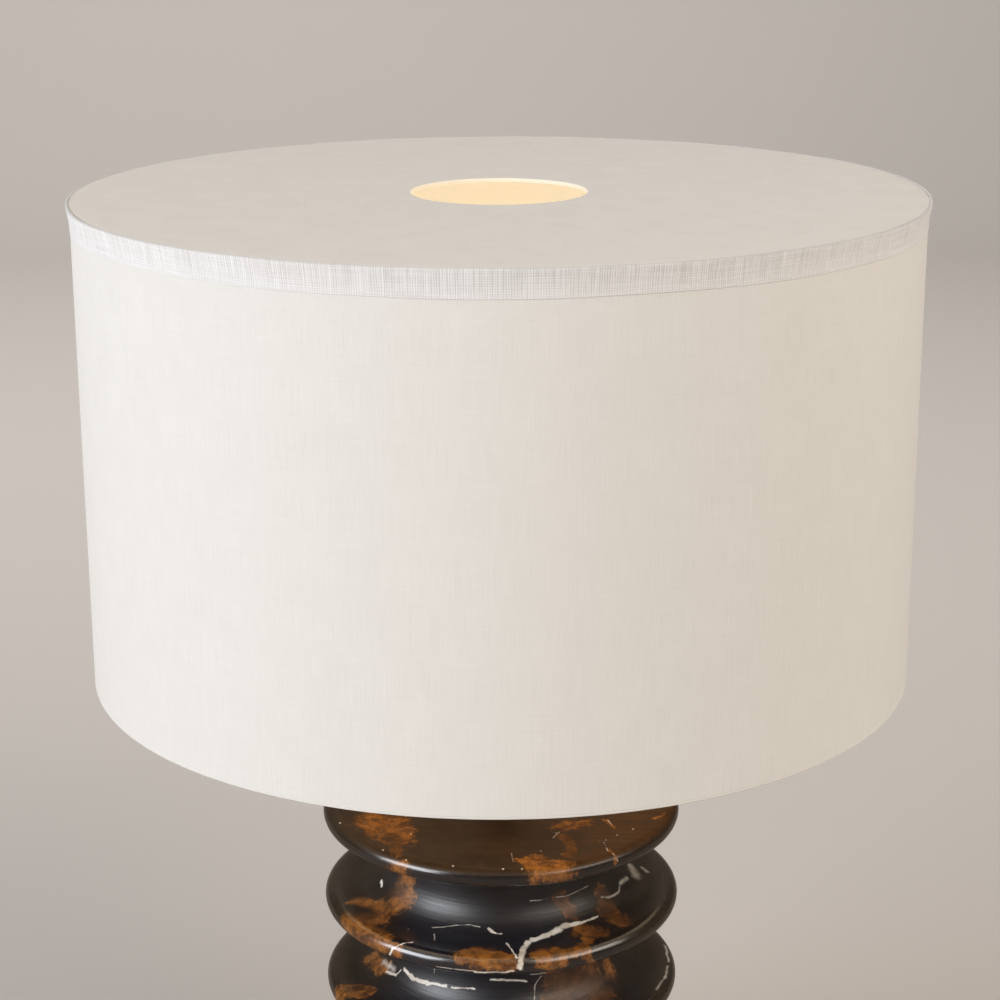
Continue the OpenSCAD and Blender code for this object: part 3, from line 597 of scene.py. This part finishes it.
def marble_rust(g, place, ragged, wide, lace, in_view, patches, deep_patches):
    """The rust: how much of it covers each point, its colour, and how much brown surrounds it."""
    placed = stroke_depth(g, ragged, patches)
    blotches = g.noise(ragged, 13, 5, 0.55, 0.4)
    strewn = g.math("MULTIPLY", g.math("SUBTRACT", blotches, 0.60), 9)
    strewn = g.math("SUBTRACT", strewn, g.math("MULTIPLY", in_view, 9))
    depth = g.math("MAXIMUM", g.math("ADD", placed, RUST_SPREAD), strewn)
    softness = g.level(g.ramp(wide, 0.35, 0.65), 0.30, 1.10)
    rusted = g.ramp(g.math("ADD", depth, g.math("MULTIPLY", lace, 1.9)), 0, softness)
    halo = g.math("MULTIPLY", g.ramp(depth, -1.0, 0.1), 0.55)

    mottle = g.noise(place, 105, 6, 0.72, 0.6)
    rust = g.mix(g.ramp(mottle, 0.34, 0.62), RUST_DARK, RUST_LIGHT)
    grains = g.math("MULTIPLY", g.ramp(g.noise(place, 420, 3, 0.6), 0.52, 0.72), g.ramp(mottle, 0.40, 0.60))
    rust = g.mix(g.math("MULTIPLY", grains, 0.6), rust, RUST_GRAIN)
    pits = g.ramp(g.noise(place, 560, 2), 0.42, 0.33)
    rust = g.mix(g.math("MULTIPLY", pits, 0.6), rust, RUST_PIT)
    stains = g.ramp(g.noise(g.vector("MULTIPLY", ragged, (1, 1, 1.8)), 48, 5, 0.6), 0.56, 0.72)
    rust = g.mix(g.math("MULTIPLY", stains, 0.75), rust, RUST_STAIN)
    deep = g.ramp(stroke_depth(g, ragged, deep_patches), -0.2, 0.5)
    return rusted, g.mix(g.math("MULTIPLY", deep, 0.68), rust, RUST_DEEP), halo


def marble_hairlines(g, place, wavy, elsewhere):
    """How much of the faint hairlines shows: they follow the middle level of a noise, in some places."""
    hair = g.math("ABSOLUTE", g.math("SUBTRACT", g.noise(wavy, 17, 5, 0.55, 1.0), 0.5))
    hairlines = g.math("MULTIPLY", g.ramp(hair, 0.006, 0.001), g.ramp(g.noise(place, 23, 2), 0.52, 0.64))
    return g.math("MULTIPLY", hairlines, g.level(elsewhere, 0.12, 0.35))


def marble_veins(g, place, wavy, nearly_true, lace, elsewhere, veins_in_view):
    """How much pale stone shows: the veins, grey clouds, fine lines and specks in view, others elsewhere."""
    pale_strokes, grey_strokes, fine_strokes, speck_strokes = veins_in_view
    crossing = g.math("ABSOLUTE", g.math("SUBTRACT", g.noise(wavy, 6.5, 4, 0.5, 0.7), 0.5))
    gate = g.ramp(g.noise(place, 11, 2), 0.50, 0.62)
    free = g.math("MULTIPLY", g.math("MULTIPLY", g.ramp(crossing, 0.010, 0.003), gate), elsewhere)
    edge = g.math("ADD", stroke_depth(g, wavy, pale_strokes), g.math("MULTIPLY", lace, 1.25))
    veins = g.math("MAXIMUM", g.ramp(edge, 0.05, 0.55), free)
    greys = g.math("ADD", stroke_depth(g, wavy, grey_strokes), lace)
    veins = g.math("MAXIMUM", veins, g.math("MULTIPLY", g.ramp(greys, -0.2, 1.2), 0.72))
    fine = stroke_depth(g, nearly_true, fine_strokes)
    veins = g.math("MAXIMUM", veins, g.math("MULTIPLY", g.ramp(fine, 0.0, 0.6), 0.62))
    specks = g.ramp(stroke_depth(g, place, speck_strokes), 0.05, 0.45)
    dots = g.node("ShaderNodeTexVoronoi", {"Vector": place, "Scale": 95.0})
    picked = g.math("MULTIPLY", g.ramp(g.split(dots.outputs["Color"])[0], 0.955, 0.960), elsewhere)
    strewn = g.math("MULTIPLY", g.ramp(dots.outputs["Distance"], 0.11, 0.05), picked)
    return g.math("MAXIMUM", veins, g.math("MULTIPLY", g.math("MAXIMUM", specks, strewn), 0.65))


def polish_marble(g, shader, place, top_face, rusted):
    """Satin polish with fine turning marks, glossiest on the ribs' noses; the flat top mirrors brown."""
    sides = g.math("SUBTRACT", 1.0, top_face)
    out_from_axis = g.vector("LENGTH", g.vector("MULTIPLY", place, (1, 1, 0)))
    nose = g.math("MULTIPLY", g.ramp(out_from_axis, 84 * MM, 97 * MM), sides)
    turned = g.noise(g.vector("MULTIPLY", place, (18, 18, 700)), 1, 4, 0.65)
    dull = g.math("ADD", g.level(turned, 0.26, 0.57), g.math("MULTIPLY", top_face, 0.10))
    dull = g.math("SUBTRACT", dull, g.math("MULTIPLY", nose, 0.20))
    g.feed(shader["Roughness"], g.math("ADD", dull, g.math("MULTIPLY", rusted, 0.05)))
    g.feed(shader["Specular IOR Level"], g.level(sides, 0.28, 0.86))
    g.feed(shader["Specular Tint"], g.mix(top_face, WHITE, TOP_TINT))
    g.feed(shader["Coat Weight"], nose)
    g.feed(shader["Normal"], g.bump(g.math("MULTIPLY", turned, sides), 0.20 * MM))


def marble_material(camera, tree):
    """Polished stone: blue-black to brown, with rust patches, cream veins, hairlines and specks.

    The markings in view follow the photograph; elsewhere noise makes others of the same kinds.
    """
    material, g, shader = new_material("polished_marble", IOR=1.56, Coat_Roughness=0.18)
    rust_patches, deep_patches, *veins_in_view = [
        stroke_segments(strokes, camera, tree)
        for strokes in (RUST_PATCHES, DEEP_PATCHES, PALE_VEINS, GREY_VEINS, FINE_LINES, PALE_SPECKS)]
    place = g.object_position()
    ragged, wavy, nearly_true = [
        g.group(jitter_group, Position=place, Coarse=coarse * MM, Fine=fine * MM)["Position"]
        for coarse, fine in ((6, 1.3), (1.6, 0.6), (1.0, 0.25))]
    x, y, z = g.split(place)
    in_view = g.math("MULTIPLY", g.ramp(z, 120 * MM, 150 * MM), g.ramp(y, 50 * MM, 30 * MM))
    elsewhere = g.math("SUBTRACT", 1.0, in_view)
    top_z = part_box("marble_body")[1][2]
    top_face = g.ramp(z, top_z - 4 * MM, top_z - 0.5 * MM)
    wide = g.noise(place, 7, 5, 0.55, 0.6)
    crumb = g.math("SUBTRACT", g.noise(place, 210, 4, 0.65), 0.5)
    dust = g.math("MULTIPLY", g.math("SUBTRACT", g.noise(place, 620, 3, 0.6), 0.5), 0.6)
    lace = g.math("ADD", crumb, dust)

    colour = marble_ground(g, place, x, wide, top_face)
    rusted, rust, halo = marble_rust(g, place, ragged, wide, lace, in_view, rust_patches, deep_patches)
    colour = g.mix(rusted, g.mix(halo, colour, HALO_BROWN), rust)
    colour = g.mix(marble_hairlines(g, place, wavy, elsewhere), colour, HAIRLINE_COLOUR)
    pale = marble_veins(g, place, wavy, nearly_true, lace, elsewhere, veins_in_view)
    cream = g.mix(g.ramp(g.noise(place, 160, 3), 0.38, 0.62), CREAM_LIGHT, CREAM_DARK)
    g.feed(shader["Base Color"], g.mix(g.math("MULTIPLY", pale, 0.95), colour, cream))
    polish_marble(g, shader, place, top_face, rusted)
    return material


# Cloth

def linen_material(name, light, dark, pitch, upright, level, fineness, cloud, relief, glow=0.0, glow_r=None,
                   painted_shade_top_z=None):
    """Woven linen: thread relief, uneven threads and mottling between a light and a darker tone.

    glow is painted light: an emission that stands for the bulb's light on and through the cloth, only near
    the radius glow_r where that is given.
    Near the height painted_shade_top_z, where that is given, the top of the cloth is darkened as painted
    shade: the shadow line where the lip meets the disc.
    """
    material, g, shader = new_material(
        name, Roughness=0.92, Sheen_Weight=0.12, Sheen_Roughness=0.6, Specular_IOR_Level=0.25,
        Emission_Color=GLOW_COLOUR, Emission_Strength=glow)
    weave = g.group(weave_group, Cloth=g.cloth_position(), Pitch=pitch, Upright=upright, Level=level,
                    Fineness=fineness, Cloud=cloud)
    place = g.object_position()
    colour = g.mix(weave["Tone"], dark, light)
    if painted_shade_top_z is not None:
        # Painted shade: the cloth is darkened from about 1.2 mm under that height upwards
        painted_lip_shade = g.ramp(g.split(place)[2], painted_shade_top_z - 1.2 * MM, painted_shade_top_z - 0.2 * MM)
        colour = g.mix(g.math("MULTIPLY", painted_lip_shade, 0.68), colour, PAINTED_LIP_SHADE_COLOUR)
    # Painted glow: where glow_r is given, only the cloth near that radius glows
    if glow_r is not None:
        from_axis = g.vector("LENGTH", g.vector("MULTIPLY", place, (1, 1, 0)))
        near_edge = g.ramp(from_axis, glow_r + 0.9 * MM, glow_r + 0.1 * MM)
        g.feed(shader["Emission Color"], g.mix(near_edge, BLACK, GLOW_COLOUR))
    g.feed(shader["Base Color"], colour)
    g.feed(shader["Normal"], g.bump(weave["Height"], relief))
    return material


def strip_uv(start_u, end_u, count_u, heights):
    """UVs in metres for a strip: u runs round the shade and v up it."""
    u = np.linspace(start_u, end_u, count_u)
    return np.stack(np.meshgrid(u, heights, indexing="ij"), axis=-1)


def lapped_angles(radius, steps):
    """Angles once round from the back and on over the seam's lap, and how far each has climbed on it."""
    lap = SEAM_LAP / radius
    angles = BACK + np.linspace(0, FULL_TURN + lap, steps)
    climb = np.clip((angles - BACK - FULL_TURN + 0.5 * lap) / (0.5 * lap), 0, 1)
    return angles, climb * climb * (3 - 2 * climb)


def make_drum_linen(material):
    """The drum's cloth: one strip round the backing, lapped over itself at the back, a little uneven."""
    low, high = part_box("shade_linen")
    radius = high[0]
    angles, climb = lapped_angles(radius, 640)
    heights = np.linspace(low[2], high[2] + 3 * MM, 26)
    profile = np.stack([np.full_like(heights, radius), heights], axis=-1)
    slack = ripple(angles, ((0.11 * MM, 7, 0.3), (0.09 * MM, 13, 2.2), (0.05 * MM, 29, 5.0)))
    lean = np.sin((heights - low[2]) / (high[2] - low[2]) * math.pi)
    swell = slack[:, None] * lean + (climb * (LINEN_T + 0.1 * MM))[:, None]
    uv = strip_uv(0, radius * (angles[-1] - angles[0]), len(angles), heights)
    linen = quad_surface("drum_linen", turned_points(profile, angles, swell), corner_uv=uv)
    wall = linen.modifiers.new("thickness", "SOLIDIFY")
    wall.thickness = LINEN_T
    wall.offset = -1
    apply_modifiers(linen)
    flat = (radius * (angles[-1] - angles[0]), heights[-1] - heights[0])
    return dress(linen, material, "linen", "shade", "shade_linen"), flat


def make_disc_linen(material):
    """The top disc's cloth: flat over the board, rolled over the edge of the hole and turned down."""
    low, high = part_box("top_linen")
    roll = 0.65 * MM
    top_z = high[2]
    edge = 0.25 * MM
    profile = np.concatenate([
        arc((high[0] - edge, top_z - edge), edge, 0, 90, 4),
        line((high[0] - edge, top_z), (HOLE_R + roll, top_z), 40),
        arc((HOLE_R + roll, top_z - roll), roll, 90, 180, 6),
        np.array([(HOLE_R, low[2]), (HOLE_R + LINEN_T, low[2]),
                  (HOLE_R + LINEN_T, top_z - LINEN_T - 0.1 * MM)]),
        line((HOLE_R + LINEN_T, top_z - LINEN_T), (high[0], top_z - LINEN_T), 12),
        np.array([(high[0], top_z - LINEN_T)])])
    angles = full_circle(384)
    points = turned_points(profile, angles)
    sag = ripple(angles, ((0.12 * MM, 3, 1.0), (0.08 * MM, 7, 3.3)))
    share = np.clip((profile[:, 0] - HOLE_R) / (high[0] - HOLE_R), 0, 1)
    points[:, :, 2] += sag[:, None] * np.sin(share * math.pi)
    looped = np.concatenate([points, points[:1]], axis=0)
    looped = np.concatenate([looped, looped[:, :1]], axis=1)
    uv = looped[:, :, :2].copy()
    uv[:, :, 0] += looped[:, :, 2]
    disc = quad_surface("disc_linen", points, wrap_u=True, wrap_v=True, corner_uv=uv)
    merge_poles(disc)
    area = math.pi * (high[0] ** 2 - HOLE_R ** 2) + FULL_TURN * HOLE_R * (top_z - low[2])
    return dress(disc, material, "trim_linen", "shade", "top_linen"), (2 * high[0], 2 * high[0]), area


def make_top_band(material):
    """The strip round the top: folded in at its lower edge, flared, folded over the rim and down to the disc.

    The flare follows a quarter of a sine, so that the strip leaves the drum in line and leans out at the lip.
    """
    low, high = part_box("top_band")
    drum_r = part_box("shade_linen")[1][0]
    fold, proud, inside_r = 0.18 * MM, 0.26 * MM, drum_r + 0.05 * MM
    lip_z = high[2] - LIP_R
    lip_mid_r = high[0] - LIP_R
    lip_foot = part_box("shade_panel")[1][2]
    rise = lip_z - low[2] - fold
    flare = high[0] - drum_r - proud
    share = np.linspace(0, 1, 15)[1:-1]
    leaned_r = drum_r + proud + flare * (1 - np.cos(share * math.pi / 2))
    outer = np.stack([leaned_r, low[2] + fold + rise * share], axis=-1)
    profile = np.concatenate([
        arc((drum_r + proud - fold, low[2] + fold), fold, -90, 0, 5), outer,
        arc((lip_mid_r, lip_z), LIP_R, 0, 180, 12),
        np.array([(lip_mid_r - LIP_R, lip_foot), (inside_r, lip_foot), (inside_r, low[2])])])
    angles, climb = lapped_angles(drum_r, 720)
    slack = ripple(angles, ((0.10 * MM, 9, 0.6), (0.07 * MM, 21, 2.4), (0.05 * MM, 47, 5.2)))
    upper = np.clip((profile[:, 1] - low[2]) / (lip_z - low[2]), 0, 1)
    upper *= profile[:, 0] > inside_r + 0.05 * MM
    swell = (climb * 0.6 * MM)[:, None] + slack[:, None] * upper
    points = turned_points(profile, angles, swell)
    wave = ripple(angles, ((0.20 * MM, 5, 0.8), (0.14 * MM, 11, 2.9), (0.07 * MM, 23, 0.2)))
    points[:, :, 2] += wave[:, None] * (1 - np.clip((profile[:, 1] - low[2]) / rise, 0, 1))
    crest = ripple(angles, ((0.08 * MM, 13, 1.7), (0.06 * MM, 37, 0.9)))
    points[:, :, 2] += crest[:, None] * (profile[:, 1] >= lip_z)
    run = np.concatenate([[0], np.cumsum(np.linalg.norm(np.diff(profile, axis=0), axis=1))])
    run = np.append(run, run[-1] + 0.6 * MM)
    length = drum_r * (angles[-1] - angles[0])
    uv = strip_uv(0, length, len(angles), run)
    band = quad_surface("top_band_linen", points, wrap_v=True, corner_uv=uv)
    close_strip_ends(band)
    at_panel = len(profile) - 3
    return dress(band, material, "trim_linen", "shade", "top_band"), (length, run[at_panel] + fold)


def close_strip_ends(piece):
    """Fills the two open ends of a strip, so that it is closed."""
    work = bmesh.new()
    work.from_mesh(piece.data)
    open_edges = [edge for edge in work.edges if edge.is_boundary]
    bmesh.ops.holes_fill(work, edges=open_edges, sides=64)
    bmesh.ops.recalc_face_normals(work, faces=work.faces)
    work.to_mesh(piece.data)
    work.free()


def make_rolled_edge(name, node, material, slot, lumps):
    """A rolled edge: a ring of round cord-like cloth whose radius swells a little along its length."""
    low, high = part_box(node)
    tube_r = (high[2] - low[2]) / 2
    ring_r = high[0] - tube_r
    centre_z = (high[2] + low[2]) / 2
    angles = full_circle(720)
    facets = 16
    around = np.arange(facets) * FULL_TURN / facets
    size = tube_r * (1 + ripple(angles, lumps))[:, None]
    reach = ring_r + size * np.cos(around)
    points = np.stack([reach * np.cos(angles)[:, None], reach * np.sin(angles)[:, None],
                       centre_z + size * np.sin(around)], axis=-1)
    uv = strip_uv(0, ring_r * FULL_TURN, len(angles) + 1, np.linspace(0, tube_r * FULL_TURN, facets + 1))
    ring = quad_surface(name, points, wrap_u=True, wrap_v=True, corner_uv=uv)
    return dress(ring, material, slot, "shade", node)


# Hard pieces

# The finish's name; then its darker and lighter tone, grain, wear, relief and roughness; then constants
HANDLED_FINISHES = (
    ("satin_brass", ((0.46, 0.30, 0.11, 1), (0.62, 0.43, 0.18, 1), 900, 0.25, 0.02 * MM, 0.30),
     {"Metallic": 1.0}),
    ("zinc_steel", ((0.42, 0.42, 0.43, 1), (0.58, 0.58, 0.60, 1), 700, 0.3, 0.02 * MM, 0.36),
     {"Metallic": 1.0}),
    ("dark_bronze", ((0.020, 0.016, 0.013, 1), (0.034, 0.027, 0.021, 1), 800, 0.2, 0.02 * MM, 0.34),
     {"Metallic": 0.6}),
    ("black_moulding", ((0.014, 0.014, 0.015, 1), (0.024, 0.024, 0.025, 1), 1400, 0.25, 0.03 * MM, 0.48), {}),
    ("turned_knob", ((0.010, 0.010, 0.011, 1), (0.018, 0.017, 0.017, 1), 1200, 0.2, 0.02 * MM, 0.24), {}),
    ("liner_board", ((0.46, 0.38, 0.26, 1), (0.60, 0.52, 0.38, 1), 1600, 0.1, 0.05 * MM, 0.85), {}),
    ("screw_aluminium", ((0.60, 0.60, 0.60, 1), (0.76, 0.76, 0.75, 1), 900, 0.3, 0.02 * MM, 0.30),
     {"Metallic": 1.0}),
    ("shade_backing", (BACKING_LOW, BACKING_HIGH, 600, 0.1, 0.01 * MM, 0.55), {}),
    ("black_felt", ((0.008, 0.008, 0.009, 1), (0.022, 0.021, 0.022, 1), 2600, 0.1, 0.30 * MM, 0.95),
     {"Sheen_Weight": 0.3}),
)
FINISHED_NODES = {
    "satin_brass": ("lamp_pipe", "harp_saddle", "socket_cap", "socket_shell", "terminal_screws",
                    "centre_contact", "switch_spindle", "harp", "harp_stud", "ferrule_left",
                    "ferrule_right", "spider", "shade_top_ring", "shade_bottom_ring", "finial"),
    "zinc_steel": ("pocket_washer", "pocket_nut", "saddle_nut", "bulb_contact"),
    "dark_bronze": ("seating_ring", "neck_tube"),
    "black_moulding": ("cord_bushing", "socket_block", "bulb_insulator"),
    "turned_knob": ("switch_knob",),
    "liner_board": ("socket_liner",),
    "screw_aluminium": ("screw_shell", "bulb_base"),
    "shade_backing": ("top_board",),
    "lit_backing": ("shade_panel",),
    "black_felt": ("base_pad",),
    "lit_bulb": ("bulb_globe",),
}


def handled_material(name, tone_low, tone_high, grain, wear, relief, roughness, **constants):
    """Metal, plastic, board or felt: a cloudy tone, uneven roughness and a fine grain."""
    material, g, shader = new_material(name, **constants)
    worn = g.group(handling_group, Position=g.object_position(), Grain=grain, Wear=wear)
    g.feed(shader["Base Color"], g.mix(g.ramp(worn["Tone"], 0.3, 0.7), tone_low, tone_high))
    g.feed(shader["Roughness"], g.math("ADD", worn["Roughness"], roughness, clamp=True))
    g.feed(shader["Normal"], g.bump(worn["Height"], relief))
    return material


def bulb_material():
    """A lit bulb with a white coat inside its glass: warm, a little dimmer towards its neck."""
    material, g, shader = new_material("lit_bulb", Roughness=0.35, Emission_Strength=BULB_STRENGTH)
    neck_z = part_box("bulb_globe")[0][2]
    warmth = g.ramp(g.split(g.object_position())[2], neck_z + 6 * MM, neck_z + 40 * MM)
    g.feed(shader["Emission Color"], g.mix(warmth, BULB_NECK_LIGHT, BULB_LIGHT))
    g.feed(shader["Base Color"], g.mix(warmth, BULB_NECK_COAT, BULB_COAT))
    return material


def lit_backing_material():
    """The white inside of the drum, with a painted warm glow that stands for the light gathering in it under
    the top disc.
    """
    material, g, shader = new_material("lit_backing", Roughness=0.55, Emission_Strength=HOLE_GLOW)
    place = g.object_position()
    top_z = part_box("shade_panel")[1][2]
    clouds = g.noise(place, 60, 3)
    # Painted glow: the emission rises towards the top of the drum's inside
    gathered = g.ramp(g.split(place)[2], top_z - 120 * MM, top_z - 45 * MM)
    g.feed(shader["Base Color"], g.mix(clouds, BACKING_LOW, BACKING_HIGH))
    g.feed(shader["Emission Color"], g.mix(gathered, BLACK, BACKING_LIGHT))
    return material


def finish_cad_nodes():
    """Gives every CAD node that stays its own finish."""
    finishes = {name: handled_material(name, *looks, **constants)
                for name, looks, constants in HANDLED_FINISHES}
    finishes["lit_backing"] = lit_backing_material()
    finishes["lit_bulb"] = bulb_material()
    for finish, names in FINISHED_NODES.items():
        for name in names:
            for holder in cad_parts[name].material_slots:
                holder.material = finishes[finish]


# Stage and light

def make_stage():
    """A pale floor that sweeps up into a backdrop in one curve, and that polish mirrors as a brown room."""
    sweep_r, near, far, wide, tall = 1.6, -3.5, 3.2, 5.0, 3.5
    profile = np.concatenate([
        line((near, 0), (far, 0), 12), arc((far, sweep_r), sweep_r, -90, 0, 24),
        line((far + sweep_r, sweep_r), (far + sweep_r, tall), 4)])
    across = np.linspace(wide, -wide, 5)
    points = np.stack([np.broadcast_to(across[:, None], (5, len(profile))),
                       np.broadcast_to(profile[None, :, 0], (5, len(profile))),
                       np.broadcast_to(profile[None, :, 1], (5, len(profile)))], axis=-1)
    floor = quad_surface("floor", points)
    material, g, shader = new_material("floor_paper", Roughness=0.9)
    clouds = g.noise(g.object_position(), 3, 2)
    paper = g.mix(g.level(clouds, 0.0, 0.25), FLOOR_COLOUR, FLOOR_CLOUDS)
    mirrored = g.math("MULTIPLY", g.node("ShaderNodeLightPath").outputs["Is Glossy Ray"], 0.85)
    g.feed(shader["Base Color"], g.mix(mirrored, paper, ROOM_COLOUR))
    floor.data.materials.append(material)


def soft_light(name, place, target, width, height, watts, colour):
    """A rectangular lamp that faces a point."""
    data = bpy.data.lights.new(name, "AREA")
    data.shape = "RECTANGLE"
    data.size, data.size_y = width, height
    data.energy = watts
    data.color = colour
    lamp = bpy.data.objects.new(name, data)
    bpy.context.scene.collection.objects.link(lamp)
    lamp.location = place
    lamp.rotation_euler = (Vector(target) - Vector(place)).to_track_quat("-Z", "Y").to_euler()


def light_the_lamp():
    """A window-like light at the left, a warm one at the right, one above, one behind, and a plain sky."""
    for name, place, target, width, height, watts, colour in LIGHTS:
        soft_light(name, place, target, width, height, watts, colour)
    world = bpy.data.worlds.new("plain_sky")
    world.use_nodes = True
    g = Graph(world.node_tree)
    background = world.node_tree.nodes["Background"]
    mirrored = g.node("ShaderNodeLightPath").outputs["Is Glossy Ray"]
    g.feed(background.inputs["Color"], g.mix(mirrored, SKY_COLOUR, MIRRORED_SKY))
    background.inputs["Strength"].default_value = SKY_STRENGTH
    bpy.context.scene.world = world


camera = make_camera(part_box("top_band")[1][2])
stone = make_stone()
sight_tree = BVHTree.FromObject(stone, bpy.context.evaluated_depsgraph_get())
dress(stone, marble_material(camera, sight_tree), "marble", "base", "marble_body")

drum_cloth = linen_material("drum_linen", DRUM_LIGHT, DRUM_DARK, FINE_PITCH, upright=0.60, level=0.30,
                            fineness=1.5, cloud=0.25, relief=0.05 * MM, glow=0.045)
band_cloth = linen_material("band_linen", BAND_LIGHT, BAND_DARK, TRIM_PITCH, upright=2.2, level=1.0,
                            fineness=1.5, cloud=0.06, relief=0.06 * MM, painted_shade_top_z=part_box("top_band")[1][2])
disc_cloth = linen_material("disc_linen", DISC_SHADED_LIGHT, DISC_SHADED_DARK, FINE_PITCH, upright=0.30, level=0.30,
                            fineness=1.4, cloud=0.45, relief=0.05 * MM, glow=0.31, glow_r=HOLE_R)

drum, drum_flat = make_drum_linen(drum_cloth)
disc, disc_flat, disc_area = make_disc_linen(disc_cloth)
band, band_flat = make_top_band(band_cloth)
make_rolled_edge("hem_linen", "bottom_hem", drum_cloth, "linen", ((0.020, 47, 1.5), (0.020, 89, 3.0)))

finish_cad_nodes()
make_stage()
light_the_lamp()

bpy.context.scene.view_settings.view_transform = "Standard"
